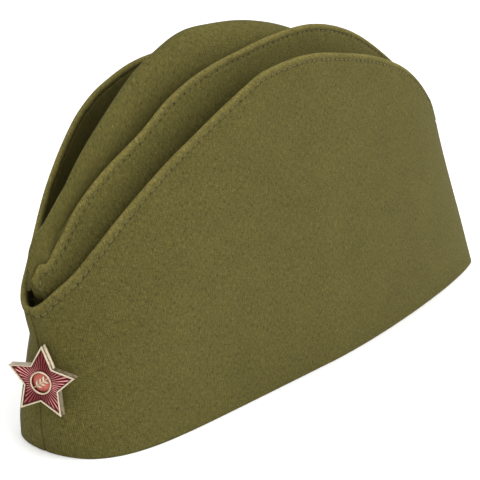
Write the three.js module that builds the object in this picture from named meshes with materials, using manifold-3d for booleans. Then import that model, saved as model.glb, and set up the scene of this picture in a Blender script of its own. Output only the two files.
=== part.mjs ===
// Side cap of olive cotton with a turned-up flap, a puffed crown and a five-pointed star badge.
// Millimetres. +Z is up, the cap's front faces -Y and the wearer's left is +X.
// The cap stands on its rim at Z = 0.

import * as THREE from 'three';
import { mergeVertices } from 'three/addons/utils/BufferGeometryUtils.js';
import Module from 'manifold-3d';

// Rim, as the cap stands by itself
const RIM_LENGTH = 264;
const RIM_FRONT_WIDTH = 60.4;
const RIM_BACK_WIDTH = 45.2;
const NOSE_BLUNTNESS = 7.9;
const TAIL_ROUNDNESS = 1.6;
const TAIL_POINT = 0.75;

// Turned-up flap
const FLAP_HEIGHT = 128;
const FLAP_SPREAD = 58.2;
const FLAP_FRONT_REACH = 6.8;
const FLAP_BACK_SETBACK = 33;
const FLAP_FRONT_ROUNDNESS = 2.1;
const FLAP_BACK_ROUNDNESS = 2.35;
const FLAP_BACK_POINT = 0.7;
const FLAP_BULGE = 1.2;
const FRONT_PINCH = 3;

// Crown sides and the seam that ends them at the top
const RIDGE_HEIGHT = 134.5;
const RIDGE_SPREAD = 32;
const RIDGE_FRONT_REACH = 6.2;
const RIDGE_BACK_SETBACK = 40;

// Puffed crown top between the two ridges
const CREST_HEIGHT = 139;
const VALLEY_DEPTH = 15;
const VALLEY_PLACE = 0.76;
const DOME_FULLNESS = 0.62;
const DOME_OPENS = 0.35;
const LIP_SHARE_AT_ENDS = 0.6;
const TOP_END_WIDTH = 1.6;

// Cloth and clearances
const FLAP_WALL = 2;
const SIDE_WALL = 1.5;
const TOP_WALL = 1.5;
const GAP = 0.3;
const FOLD_EASE = 0.6;
const LATEST_REACH = 0.85;
const SEAM_GAP = 0.3;

// Star badge
const STAR_RADIUS = 14.1;
const STAR_WAIST = 0.51;
const STAR_THICKNESS = 3.2;
const STAR_TIP_ROUND = 0.35;
const STAR_BASE = 1.1;
const STAR_NECK_INSET = 0.4;
const STAR_NECK = 0.9;
const STAR_RIM_WIDTH = 0.75;
const STAR_POCKET = 1.9;
const STAR_HEIGHT_ON_CAP = 28.8;
const STAR_SIDEWAYS = 3.1;
const STAR_TURN = 15;
const STAR_TILT = -4;
const STAR_STANDOFF = 0.55;
const ENAMEL_DROP = 0.45;
const ENAMEL_PEAK = 0.25;

// Round medallion in the middle of the star
const RING_RADIUS = 4;
const RING_WIDTH = 0.65;
const RING_RISE = 0.35;
const DISC_DROP = 0.75;
const SPRIG_TURN = 40;
const LEAF_LENGTH = 2.4;
const LEAF_WIDTH = 0.95;
const LEAF_SPREAD = 48;
const LEAF_SPACING = 1.75;
const STEM_WIDTH = 0.45;

// Post and round nut that hold the badge
const POST_RADIUS = 0.9;
const NUT_RADIUS = 4.5;
const NUT_THICKNESS = 1;
const NUT_SETBACK = 2.4;
const HOLE_RADIUS = 1.3;

// How finely the cloth is divided
const STATIONS = 38;
const LEVELS = 8;
const UNDER_DIRECTIONS = 8;
const SLOPE_STEP = 0.01;

// Places across the crown top, as shares of the width inside the lips. The first is the lip's own edge.
const ACROSS_STEPS = [2, 1, 0.92, 0.84, 0.74, 0.58, 0.4, 0.2, 0];

// Heights along the cap, as shares of the height that each column follows.
// along runs from -1 at the front to 1 at the back.
const PROFILE = [
  { along: -1.0, flapLeft: 0.44, flapRight: 0.44, ridgeLeft: 0.49, ridgeRight: 0.49, crest: 0.505 },
  { along: -0.98, flapLeft: 0.465, flapRight: 0.453, ridgeLeft: 0.536, ridgeRight: 0.511, crest: 0.546 },
  { along: -0.955, flapLeft: 0.493, flapRight: 0.471, ridgeLeft: 0.549, ridgeRight: 0.536, crest: 0.582 },
  { along: -0.93, flapLeft: 0.514, flapRight: 0.492, ridgeLeft: 0.588, ridgeRight: 0.561, crest: 0.596 },
  { along: -0.9, flapLeft: 0.542, flapRight: 0.514, ridgeLeft: 0.629, ridgeRight: 0.588, crest: 0.619 },
  { along: -0.85, flapLeft: 0.592, flapRight: 0.556, ridgeLeft: 0.69, ridgeRight: 0.635, crest: 0.662 },
  { along: -0.75, flapLeft: 0.682, flapRight: 0.68, ridgeLeft: 0.759, ridgeRight: 0.71, crest: 0.759 },
  { along: -0.6, flapLeft: 0.792, flapRight: 0.846, ridgeLeft: 0.839, ridgeRight: 0.79, crest: 0.868 },
  { along: -0.5, flapLeft: 0.85, flapRight: 0.895, ridgeLeft: 0.893, ridgeRight: 0.835, crest: 0.925 },
  { along: -0.4, flapLeft: 0.903, flapRight: 0.934, ridgeLeft: 0.934, ridgeRight: 0.875, crest: 0.962 },
  { along: -0.3, flapLeft: 0.948, flapRight: 0.956, ridgeLeft: 0.959, ridgeRight: 0.9, crest: 0.991 },
  { along: -0.2, flapLeft: 0.984, flapRight: 0.965, ridgeLeft: 0.974, ridgeRight: 0.92, crest: 1.0 },
  { along: 0.0, flapLeft: 0.996, flapRight: 0.967, ridgeLeft: 0.993, ridgeRight: 0.94, crest: 0.98 },
  { along: 0.2, flapLeft: 0.963, flapRight: 0.94, ridgeLeft: 0.991, ridgeRight: 0.93, crest: 0.935 },
  { along: 0.4, flapLeft: 0.912, flapRight: 0.89, ridgeLeft: 0.941, ridgeRight: 0.88, crest: 0.865 },
  { along: 0.6, flapLeft: 0.826, flapRight: 0.8, ridgeLeft: 0.846, ridgeRight: 0.79, crest: 0.777 },
  { along: 0.8, flapLeft: 0.69, flapRight: 0.68, ridgeLeft: 0.71, ridgeRight: 0.67, crest: 0.67 },
  { along: 0.9, flapLeft: 0.617, flapRight: 0.612, ridgeLeft: 0.625, ridgeRight: 0.605, crest: 0.607 },
  { along: 1.0, flapLeft: 0.565, flapRight: 0.565, ridgeLeft: 0.55, ridgeRight: 0.55, crest: 0.55 },
];

// The front fold at each height: how far it has leant forward and how far it is pinched in,
// as shares of the reach and of the pinch
const FRONT_FOLD = [
  { up: 0.0, lean: 0.12, pinch: -0.9 },
  { up: 0.17, lean: 0.38, pinch: -0.6 },
  { up: 0.5, lean: 0.3, pinch: 0.75 },
  { up: 0.7, lean: 0.28, pinch: 1.6 },
  { up: 0.86, lean: 0.6, pinch: 0.6 },
  { up: 1.0, lean: 1.0, pinch: 0.0 },
];

const FRONT_FOLD_LENGTH = 0.12;

const CLOTH = { color: 0x6f6839, roughness: 0.92, metalness: 0 };
const GILT = { color: 0xcdbd90, roughness: 0.35, metalness: 0.9 };
const RED_ENAMEL = { color: 0x7c1522, roughness: 0.2, metalness: 0.1 };
const CORAL_ENAMEL = { color: 0xc75c4c, roughness: 0.25, metalness: 0 };
const STEEL = { color: 0xa8a49a, roughness: 0.4, metalness: 0.9 };

const wasm = await Module();
wasm.setup();

// A smooth curve through one column of a table
function smooth(rows, key, column, at) {
  const last = rows.length - 1;
  const x = THREE.MathUtils.clamp(at, rows[0][key], rows[last][key]);
  let i = 0;
  while (i < last - 1 && x > rows[i + 1][key]) {
    i += 1;
  }
  const slope = (j) => {
    const before = rows[Math.max(j - 1, 0)];
    const after = rows[Math.min(j + 1, last)];
    return (after[column] - before[column]) / (after[key] - before[key]);
  };
  const span = rows[i + 1][key] - rows[i][key];
  const t = (x - rows[i][key]) / span;
  const rise = rows[i + 1][column] - rows[i][column];
  const bend = (1 - t) * (slope(i) * span - rise) - t * (slope(i + 1) * span - rise);
  return rows[i][column] + t * rise + t * (1 - t) * bend;
}

// Half width of a leaf-shaped outline. Each end has a roundness, and a point of 0.5 for a round
// end or more for a sharp one.
function leafHalfWidth(along, front, back) {
  const end = along < 0 ? front : back;
  const width = THREE.MathUtils.lerp(front.width, back.width, (along + 1) / 2);
  return (width / 2) * Math.max(0, 1 - Math.abs(along) ** end.roundness) ** end.point;
}

function rimOutline(along) {
  const front = { width: RIM_FRONT_WIDTH, roundness: NOSE_BLUNTNESS, point: 0.5 };
  const back = { width: RIM_BACK_WIDTH, roundness: TAIL_ROUNDNESS, point: TAIL_POINT };
  return { x: leafHalfWidth(along, front, back), y: (RIM_LENGTH / 2) * along };
}

function flapOutline(along) {
  const front = -RIM_LENGTH / 2 - FLAP_FRONT_REACH;
  const back = RIM_LENGTH / 2 - FLAP_BACK_SETBACK;
  const nose = { width: FLAP_SPREAD, roundness: FLAP_FRONT_ROUNDNESS, point: 0.5 };
  const tail = { width: FLAP_SPREAD, roundness: FLAP_BACK_ROUNDNESS, point: FLAP_BACK_POINT };
  return { x: leafHalfWidth(along, nose, tail), y: THREE.MathUtils.lerp(front, back, (along + 1) / 2) };
}

function ridgeOutline(along) {
  const front = -RIM_LENGTH / 2 - RIDGE_FRONT_REACH;
  const back = RIM_LENGTH / 2 - RIDGE_BACK_SETBACK;
  const x = (RIDGE_SPREAD / 2) * Math.sqrt(Math.max(0, 1 - along * along));
  return { x, y: THREE.MathUtils.lerp(front, back, (along + 1) / 2) };
}

// Stations crowd together towards both ends, where the outlines turn fastest
function stationAlong(i) {
  return -Math.cos((Math.PI * i) / STATIONS);
}

// The front fold stays upright below and leans forward near its top
function frontFade(along) {
  return Math.exp(-(along + 1) / FRONT_FOLD_LENGTH);
}

function frontLean(along, up) {
  return -FLAP_FRONT_REACH * frontFade(along) * (smooth(FRONT_FOLD, 'up', 'lean', up) - up);
}

// Between the star and the V the sides of the front fold are drawn in
function frontPinch(along, up, x) {
  const pinch = FRONT_PINCH * frontFade(along) * smooth(FRONT_FOLD, 'up', 'pinch', up);
  return -pinch * Math.min(1, x / (RIM_FRONT_WIDTH / 4));
}

// One level of the flap's outer face, as seen from above, from front to back
function flapLevel(up) {
  const points = [];
  for (let i = 0; i <= STATIONS; i += 1) {
    const along = stationAlong(i);
    const rim = rimOutline(along);
    const edge = flapOutline(along);
    const bulge = FLAP_BULGE * Math.sin(Math.PI * up) * Math.sqrt(Math.max(0, 1 - along * along));
    const straight = THREE.MathUtils.lerp(rim.x, edge.x, up);
    const x = straight + bulge + frontPinch(along, up, straight);
    const y = THREE.MathUtils.lerp(rim.y, edge.y, up) + frontLean(along, up);
    points.push({ x: x + SEAM_GAP / 2, y });
  }
  return points;
}

// Moves a level inwards by a wall, clips it at the middle seam and spreads its points out again
function insetLevel(points, inset) {
  if (inset === 0) {
    return points;
  }
  const moved = points.map((point, i) => {
    const before = points[Math.max(i - 1, 0)];
    const after = points[Math.min(i + 1, points.length - 1)];
    const length = Math.hypot(after.x - before.x, after.y - before.y);
    const x = point.x - (inset * (after.y - before.y)) / length;
    const y = point.y + (inset * (after.x - before.x)) / length;
    return { x, y };
  });
  const seam = SEAM_GAP / 2;
  const inside = moved.map((point) => point.x > seam);
  const first = inside.indexOf(true);
  const last = inside.lastIndexOf(true);
  const crossing = (a, b) => {
    const share = THREE.MathUtils.clamp((seam - a.x) / (b.x - a.x), 0, 1);
    return { x: seam, y: THREE.MathUtils.lerp(a.y, b.y, share) };
  };
  const start = first > 0 ? crossing(moved[first - 1], moved[first]) : { x: seam, y: moved[0].y };
  const end = crossing(moved[last], moved[Math.min(last + 1, moved.length - 1)]);
  const line = [start, ...moved.slice(first, last + 1), end];
  return spreadAsBefore(line, points);
}

// Gives a line as many points as a pattern line, at the pattern's shares of its own length
function spreadAsBefore(line, pattern) {
  const lengths = (points) => {
    const sums = [0];
    for (let i = 1; i < points.length; i += 1) {
      sums.push(sums[i - 1] + Math.hypot(points[i].x - points[i - 1].x, points[i].y - points[i - 1].y));
    }
    return sums;
  };
  const own = lengths(line);
  const wanted = lengths(pattern);
  return wanted.map((sum) => {
    const distance = (sum / wanted[wanted.length - 1]) * own[own.length - 1];
    let i = 1;
    while (i < line.length - 1 && own[i] < distance) {
      i += 1;
    }
    const step = own[i] - own[i - 1];
    const share = step > 0 ? (distance - own[i - 1]) / step : 0;
    return {
      x: THREE.MathUtils.lerp(line[i - 1].x, line[i].x, share),
      y: THREE.MathUtils.lerp(line[i - 1].y, line[i].y, share),
    };
  });
}

// Flap half: rows of points for one face, from the rim up to the edge
function flapFace(hand, inset) {
  const rows = [];
  for (let level = 0; level <= LEVELS; level += 1) {
    const up = level / LEVELS;
    const points = insetLevel(flapLevel(up), inset);
    rows.push(points.map((point, i) => {
      const height = FLAP_HEIGHT * smooth(PROFILE, 'along', `flap${hand}`, stationAlong(i));
      return new THREE.Vector3(point.x, point.y, height * up);
    }));
  }
  return rows;
}

// Crown side: follows the inside of the flap and leaves it towards the ridge.
// It leans inwards all the way up, and moves forwards only above the flap's edge.
function sideLevel(hand, up) {
  const points = [];
  for (let i = 0; i <= STATIONS; i += 1) {
    const along = stationAlong(i);
    const flapHeight = FLAP_HEIGHT * smooth(PROFILE, 'along', `flap${hand}`, along);
    const edgeUp = flapHeight / ridgeHeight(hand, along);
    const base = insetLevel(flapLevel(Math.min(1, up / edgeUp)), FLAP_WALL + GAP + FOLD_EASE * up)[i];
    const tucked = insetLevel(flapLevel(Math.min(1, 1 / edgeUp)), FLAP_WALL + GAP + FOLD_EASE)[i];
    const ridge = ridgeOutline(along);
    const inwards = ridge.x + SEAM_GAP / 2 - tucked.x;
    const start = Math.min(edgeUp, LATEST_REACH);
    const reaching = Math.max(0, (up - start) / (1 - start));
    points.push({
      x: Math.max(SEAM_GAP / 2, base.x + inwards * (inwards < 0 ? up * up : reaching)),
      y: base.y + (ridge.y - tucked.y) * reaching,
    });
  }
  return points;
}

function ridgeTopHeight(hand, along) {
  return RIDGE_HEIGHT * smooth(PROFILE, 'along', `ridge${hand}`, along);
}

// Top of the crown side, one wall and a gap below the ridge, measured square to its slope
function ridgeHeight(hand, along) {
  const from = Math.max(-1, along - SLOPE_STEP);
  const to = Math.min(1, along + SLOPE_STEP);
  const rise = ridgeTopHeight(hand, to) - ridgeTopHeight(hand, from);
  const slope = rise / (ridgeOutline(to).y - ridgeOutline(from).y);
  return ridgeTopHeight(hand, along) - (TOP_WALL + GAP) * Math.hypot(1, slope);
}

function sideFace(hand, inset) {
  const rows = [];
  for (let level = 0; level <= LEVELS; level += 1) {
    const up = level / LEVELS;
    const points = insetLevel(sideLevel(hand, up), inset);
    rows.push(points.map((point, i) => {
      const height = ridgeHeight(hand, stationAlong(i));
      return new THREE.Vector3(point.x, point.y, height * up);
    }));
  }
  return rows;
}

// Closes two faces of a cloth wall into one body
function clothWall(outer, inner, side) {
  const rowLength = outer[0].length;
  const faceSize = outer.length * rowLength;
  const positions = [];
  for (const face of [outer, inner]) {
    for (const row of face) {
      for (const point of row) {
        positions.push(point.x * side, point.y, point.z);
      }
    }
  }
  const index = [];
  const quad = (a, b, c, d) => {
    const corners = side > 0 ? [a, b, c, a, c, d] : [a, c, b, a, d, c];
    index.push(...corners);
  };
  const at = (face, row, i) => face * faceSize + row * rowLength + i;
  const lastRow = outer.length - 1;
  const last = rowLength - 1;
  for (let row = 0; row < lastRow; row += 1) {
    for (let i = 0; i < last; i += 1) {
      quad(at(0, row, i), at(0, row, i + 1), at(0, row + 1, i + 1), at(0, row + 1, i));
      quad(at(1, row, i), at(1, row + 1, i), at(1, row + 1, i + 1), at(1, row, i + 1));
    }
    quad(at(0, row, 0), at(0, row + 1, 0), at(1, row + 1, 0), at(1, row, 0));
    quad(at(0, row, last), at(1, row, last), at(1, row + 1, last), at(0, row + 1, last));
  }
  for (let i = 0; i < last; i += 1) {
    quad(at(0, 0, i), at(1, 0, i), at(1, 0, i + 1), at(0, 0, i + 1));
    quad(at(0, lastRow, i), at(0, lastRow, i + 1), at(1, lastRow, i + 1), at(1, lastRow, i));
  }
  const geometry = new THREE.BufferGeometry();
  geometry.setAttribute('position', new THREE.Float32BufferAttribute(positions, 3));
  geometry.setIndex(index);
  return geometry;
}

// Crown top, seen from above as a leaf between the ridges: a lip on each crown side,
// a valley beside it and the puffed dome in the middle
function topShape(hand, along) {
  const half = Math.max(ridgeOutline(along).x, TOP_END_WIDTH / 2);
  const taper = (ridgeOutline(along + SLOPE_STEP).x - ridgeOutline(along - SLOPE_STEP).x)
    / (ridgeOutline(along + SLOPE_STEP).y - ridgeOutline(along - SLOPE_STEP).y);
  const lip = (SIDE_WALL + GAP + TOP_WALL) * Math.hypot(1, taper);
  const open = THREE.MathUtils.clamp((half - lip) / (RIDGE_SPREAD / 2 - lip), 0, 1);
  const inside = Math.max(half - lip, half * LIP_SHARE_AT_ENDS);
  const ridgeTop = ridgeTopHeight(hand, along);
  return {
    half,
    inside,
    ridgeTop,
    valley: ridgeTop - VALLEY_DEPTH * open,
    crest: CREST_HEIGHT * smooth(PROFILE, 'along', 'crest', along),
    domeHalf: THREE.MathUtils.lerp(half, VALLEY_PLACE * inside, THREE.MathUtils.smoothstep(open, 0, DOME_OPENS)),
  };
}

function topHeight(x, along) {
  const shape = topShape(x > 0 ? 'Left' : 'Right', THREE.MathUtils.clamp(along, -1, 1));
  const place = Math.abs(x);
  const climb = THREE.MathUtils.clamp((place / shape.inside - VALLEY_PLACE) / (1 - VALLEY_PLACE), 0, 1);
  const bowl = THREE.MathUtils.lerp(shape.valley, shape.ridgeTop, Math.sin((Math.PI / 2) * climb));
  const round = Math.max(0, 1 - (place / shape.domeHalf) ** 2) ** DOME_FULLNESS;
  return Math.max(bowl, THREE.MathUtils.lerp(shape.valley, shape.crest, round));
}

// Height of the under face, one wall below the upper face in every direction
function underHeight(x, y) {
  let height = topHeight(x, ridgeAlong(y)) - TOP_WALL;
  for (let k = 0; k < UNDER_DIRECTIONS; k += 1) {
    const angle = (2 * Math.PI * k) / UNDER_DIRECTIONS;
    for (const reach of [0.6 * TOP_WALL, TOP_WALL]) {
      const drop = Math.sqrt(TOP_WALL ** 2 - reach ** 2);
      const along = ridgeAlong(y + reach * Math.sin(angle));
      height = Math.min(height, topHeight(x + reach * Math.cos(angle), along) - drop);
    }
  }
  return height;
}

function ridgeAlong(y) {
  const front = ridgeOutline(-1).y;
  return (2 * (y - front)) / (ridgeOutline(1).y - front) - 1;
}

// Rows of points from the wearer's left to the right, each from front to back
function topFace(wall) {
  const steps = [...ACROSS_STEPS, ...ACROSS_STEPS.slice(0, -1).reverse()];
  return steps.map((step, j) => {
    const hand = j < ACROSS_STEPS.length ? 1 : -1;
    const row = [];
    for (let i = 0; i <= STATIONS; i += 1) {
      const along = stationAlong(i);
      const { half, inside } = topShape('Left', along);
      const beside = Math.min(wall, half - inside) * Math.max(0, (step - VALLEY_PLACE) / (1 - VALLEY_PLACE));
      const x = hand * (step > 1 ? half : step * inside + beside);
      const { y } = ridgeOutline(along);
      const z = wall > 0 ? underHeight(x, y) : topHeight(x, along);
      row.push(new THREE.Vector3(x, y, z));
    }
    return row;
  });
}

// Closed geometry to solid and back, for the cuts and joins
function toSolid(geometry) {
  const bare = geometry.index ? geometry.toNonIndexed() : geometry.clone();
  bare.deleteAttribute('normal');
  bare.deleteAttribute('uv');
  const merged = mergeVertices(bare, 1e-4);
  const mesh = new wasm.Mesh({
    numProp: 3,
    vertProperties: new Float32Array(merged.attributes.position.array),
    triVerts: new Uint32Array(merged.index.array),
  });
  return new wasm.Manifold(mesh);
}

function toGeometry(solid) {
  const mesh = solid.getMesh();
  const geometry = new THREE.BufferGeometry();
  geometry.setAttribute('position', new THREE.Float32BufferAttribute(mesh.vertProperties, 3));
  geometry.setIndex(Array.from(mesh.triVerts));
  return geometry;
}

// Star outline, moved inwards by an inset measured square to its sides
function starOutline(inset) {
  const waist = STAR_RADIUS * STAR_WAIST;
  const step = Math.PI / 5;
  const sideLength = Math.hypot(STAR_RADIUS - waist * Math.cos(step), waist * Math.sin(step));
  const sideDistance = (STAR_RADIUS * waist * Math.sin(step)) / sideLength;
  const scale = (sideDistance - inset) / sideDistance;
  const round = STAR_TIP_ROUND;
  const shape = new THREE.Shape();
  for (let k = 0; k < 5; k += 1) {
    const angle = Math.PI / 2 + 2 * step * k;
    const tip = new THREE.Vector2(Math.cos(angle), Math.sin(angle)).multiplyScalar(STAR_RADIUS * scale);
    const notchBefore = new THREE.Vector2(Math.cos(angle - step), Math.sin(angle - step));
    const notchAfter = new THREE.Vector2(Math.cos(angle + step), Math.sin(angle + step));
    notchBefore.multiplyScalar(waist * scale);
    notchAfter.multiplyScalar(waist * scale);
    const share = round / sideLength;
    const into = tip.clone().lerp(notchBefore, share);
    const out = tip.clone().lerp(notchAfter, share);
    if (k === 0) {
      shape.moveTo(into.x, into.y);
    } else {
      shape.lineTo(into.x, into.y);
    }
    shape.lineTo(out.x, out.y);
    shape.lineTo(notchAfter.x, notchAfter.y);
  }
  shape.closePath();
  return shape;
}

function extruded(shape, from, to) {
  const geometry = new THREE.ExtrudeGeometry(shape, { depth: to - from, bevelEnabled: false, curveSegments: 8 });
  geometry.translate(0, 0, from);
  return geometry;
}

function roundBar(radius, from, to) {
  const geometry = new THREE.CylinderGeometry(radius, radius, to - from, 28);
  geometry.rotateX(Math.PI / 2);
  geometry.translate(0, 0, (from + to) / 2);
  return geometry;
}

function leafShape(length, width) {
  const shape = new THREE.Shape();
  shape.moveTo(0, 0);
  shape.quadraticCurveTo(length * 0.5, width, length, 0);
  shape.quadraticCurveTo(length * 0.5, -width, 0, 0);
  return shape;
}

// Stem and leaves that lie across the medallion, joined to its ring at both ends
function sprigSolid(from, to) {
  const reach = RING_RADIUS + RING_WIDTH / 2;
  const stem = new THREE.BoxGeometry(2 * reach, STEM_WIDTH, to - from);
  stem.translate(0, 0, (from + to) / 2);
  let solid = toSolid(stem);
  for (let pair = -1; pair <= 1; pair += 1) {
    for (const hand of [-1, 1]) {
      const leaf = extruded(leafShape(LEAF_LENGTH, LEAF_WIDTH), from, to);
      leaf.rotateZ(THREE.MathUtils.degToRad(hand * LEAF_SPREAD));
      leaf.translate(LEAF_SPACING * (pair - 0.35), 0, 0);
      solid = solid.add(toSolid(leaf));
    }
  }
  const room = toSolid(roundBar(reach, from, to));
  const geometry = toGeometry(solid.intersect(room));
  geometry.rotateZ(THREE.MathUtils.degToRad(SPRIG_TURN));
  return toSolid(geometry);
}

const FLOOR = STAR_THICKNESS - STAR_POCKET;
const RING_TOP = STAR_THICKNESS + RING_RISE;
const DISC_TOP = STAR_THICKNESS - DISC_DROP;

function starBody() {
  const rimStart = STAR_BASE + STAR_NECK;
  const base = toSolid(extruded(starOutline(0), 0, STAR_BASE));
  const neck = toSolid(extruded(starOutline(STAR_NECK_INSET), STAR_BASE, rimStart));
  const rim = toSolid(extruded(starOutline(STAR_NECK_INSET / 4), rimStart, STAR_THICKNESS));
  const pocket = toSolid(extruded(starOutline(STAR_NECK_INSET / 4 + STAR_RIM_WIDTH), FLOOR, RING_TOP));
  const ringOuter = toSolid(roundBar(RING_RADIUS + RING_WIDTH / 2, FLOOR, RING_TOP));
  const ringInner = toSolid(roundBar(RING_RADIUS - RING_WIDTH / 2, FLOOR, RING_TOP));
  const ring = ringOuter.subtract(ringInner);
  const tray = base.add(neck).add(rim).subtract(pocket);
  return toGeometry(tray.add(ring).add(sprigSolid(DISC_TOP + GAP, RING_TOP)));
}

function starEnamel() {
  const edge = STAR_NECK_INSET / 4 + STAR_RIM_WIDTH + GAP;
  const edgeTop = STAR_THICKNESS - ENAMEL_DROP;
  const slab = extruded(starOutline(edge), FLOOR + GAP, edgeTop);
  const positions = slab.attributes.position;
  for (let i = 0; i < positions.count; i += 1) {
    if (positions.getZ(i) > edgeTop - GAP / 2) {
      const fromMiddle = Math.hypot(positions.getX(i), positions.getY(i)) / STAR_RADIUS;
      positions.setZ(i, edgeTop + ENAMEL_PEAK * (1 - fromMiddle));
    }
  }
  const hole = toSolid(roundBar(RING_RADIUS + RING_WIDTH / 2 + GAP, FLOOR, RING_TOP));
  return toGeometry(toSolid(slab).subtract(hole));
}

function starDisc() {
  return roundBar(RING_RADIUS - RING_WIDTH / 2 - GAP, FLOOR + GAP, DISC_TOP);
}

// Turned profile of the post and the round nut, behind the star's back
function badgePin() {
  const stack = FLAP_WALL + GAP + SIDE_WALL;
  const nutFace = -(stack + STAR_STANDOFF + NUT_SETBACK);
  const profile = [
    new THREE.Vector2(0, -GAP),
    new THREE.Vector2(POST_RADIUS, -GAP),
    new THREE.Vector2(POST_RADIUS, nutFace),
    new THREE.Vector2(NUT_RADIUS, nutFace),
    new THREE.Vector2(NUT_RADIUS, nutFace - NUT_THICKNESS),
    new THREE.Vector2(0, nutFace - NUT_THICKNESS),
  ];
  const geometry = new THREE.LatheGeometry(profile.reverse(), 20);
  geometry.rotateX(Math.PI / 2);
  return geometry;
}

// Where the badge sits: its back on the front fold, turned a little to the wearer's left and tilted
const badge = new THREE.Group();
const frontAtBadge = -RIM_LENGTH / 2 + frontShift(STAR_HEIGHT_ON_CAP);
badge.position.set(STAR_SIDEWAYS, frontAtBadge - STAR_STANDOFF, STAR_HEIGHT_ON_CAP);
badge.rotation.set(Math.PI / 2, 0, THREE.MathUtils.degToRad(STAR_TURN), 'ZXY');
badge.rotateZ(THREE.MathUtils.degToRad(STAR_TILT));

function frontShift(height) {
  const up = height / (FLAP_HEIGHT * PROFILE[0].flapLeft);
  return -FLAP_FRONT_REACH * smooth(FRONT_FOLD, 'up', 'lean', up);
}

// Cuts the hole for the badge's post through a wall
function pierced(geometry) {
  badge.updateMatrixWorld(true);
  const drill = roundBar(HOLE_RADIUS, -FLAP_WALL - SIDE_WALL - 3 * HOLE_RADIUS, 2 * HOLE_RADIUS);
  drill.applyMatrix4(badge.matrixWorld);
  return toGeometry(toSolid(geometry).subtract(toSolid(drill)));
}

function named(name, geometry, finish) {
  geometry.computeVertexNormals();
  const mesh = new THREE.Mesh(geometry, new THREE.MeshStandardMaterial(finish));
  mesh.name = name;
  return mesh;
}

const flapLeft = clothWall(flapFace('Left', 0), flapFace('Left', FLAP_WALL), 1);
const flapRight = clothWall(flapFace('Right', 0), flapFace('Right', FLAP_WALL), -1);
const sideLeft = clothWall(sideFace('Left', 0), sideFace('Left', SIDE_WALL), 1);
const sideRight = clothWall(sideFace('Right', 0), sideFace('Right', SIDE_WALL), -1);
const crownTop = clothWall(topFace(0), topFace(TOP_WALL), 1);

const cap = new THREE.Group();
cap.add(named('flap_left', pierced(flapLeft), CLOTH));
cap.add(named('flap_right', pierced(flapRight), CLOTH));
cap.add(named('crown_side_left', pierced(sideLeft), CLOTH));
cap.add(named('crown_side_right', pierced(sideRight), CLOTH));
cap.add(named('crown_top', crownTop, CLOTH));

badge.add(named('star_body', starBody(), GILT));
badge.add(named('star_enamel', starEnamel(), RED_ENAMEL));
badge.add(named('star_disc', starDisc(), CORAL_ENAMEL));
badge.add(named('badge_pin', badgePin(), STEEL));
cap.add(badge);

// The origin is the middle of the base
const box = new THREE.Box3().setFromObject(cap);
cap.position.set(-(box.min.x + box.max.x) / 2, -(box.min.y + box.max.y) / 2, -box.min.z);

export default cap;
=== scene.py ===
"""Olive cotton side cap with a turned-up flap, a puffed crown and a five-pointed star badge."""

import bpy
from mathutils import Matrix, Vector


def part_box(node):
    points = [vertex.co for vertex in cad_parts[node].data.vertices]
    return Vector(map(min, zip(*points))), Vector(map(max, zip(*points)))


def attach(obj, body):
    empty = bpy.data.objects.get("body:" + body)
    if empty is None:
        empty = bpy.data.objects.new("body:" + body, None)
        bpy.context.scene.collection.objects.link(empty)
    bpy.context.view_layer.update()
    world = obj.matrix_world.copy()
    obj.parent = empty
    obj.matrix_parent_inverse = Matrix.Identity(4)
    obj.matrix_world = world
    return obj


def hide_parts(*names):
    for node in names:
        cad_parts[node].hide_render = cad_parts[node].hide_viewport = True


bl_info = {
    "name": "Side cap with a star badge",
    "version": (1, 0, 0),
    "blender": (4, 5, 0),
    "location": "View3D > Sidebar > Cap",
    "description": "Models the cap's sewn cotton panels, its topstitching and its enamelled star",
    "category": "Object",
}

import math

import bpy
import numpy as np
from mathutils import Matrix, Vector

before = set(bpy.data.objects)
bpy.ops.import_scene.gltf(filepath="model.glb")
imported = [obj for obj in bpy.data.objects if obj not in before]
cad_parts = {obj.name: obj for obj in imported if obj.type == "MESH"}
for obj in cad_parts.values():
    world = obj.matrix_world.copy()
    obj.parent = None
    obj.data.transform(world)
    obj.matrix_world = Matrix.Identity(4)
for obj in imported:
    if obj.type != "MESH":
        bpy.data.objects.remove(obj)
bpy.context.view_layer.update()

MM = 0.001

# Shapes of the outlines' ends: how blunt each is, and how sharply it runs out
ROUND_POINT = 0.5
NOSE_BLUNTNESS = 7.9
TAIL_ROUNDNESS = 1.6
TAIL_POINT = 0.75
FLAP_FRONT_ROUNDNESS = 2.1
FLAP_BACK_ROUNDNESS = 2.35
FLAP_BACK_POINT = 0.7

# How far the upper edges reach past the rim's front, or stop short of its back
FLAP_FRONT_REACH = 6.8 * MM
FLAP_BACK_SETBACK = 33 * MM
RIDGE_FRONT_REACH = 6.2 * MM
RIDGE_BACK_SETBACK = 40 * MM

# How far the flap swells out half way up, and how far it is pinched in near its front fold. The pinch is
# full where the flap's half width is this share of the rim's width, and fades out along the cap.
FLAP_BULGE = 1.2 * MM
FRONT_PINCH = 3 * MM
PINCH_FULL_SHARE = 0.25
FRONT_FOLD_LENGTH = 0.12

# Crown top: where its valleys lie on the way out to the ridges, how full the dome is, how soon it opens
VALLEY_PLACE = 0.76
DOME_FULLNESS = 0.62
DOME_OPENS = 0.35

# How the crown top meets the ridges: its edge's way in and down from them, and its least width at the ends
TOP_TUCK = 1.1 * MM
TOP_DROP = 1.3 * MM
TOP_LIP = 3.3 * MM
TOP_INSIDE_AT_ENDS = 0.6
TOP_END_WIDTH = 1.6 * MM

# Clearances between the flap and the crown side: all the way, and what is added up to the edge
LAYER_GAP = 0.3 * MM
FOLD_EASE = 0.6 * MM

# The share of its height by which a crown side starts to reach for its ridge, and how softly
LATEST_REACH = 0.85
REACH_SOFTNESS = 0.1

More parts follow.
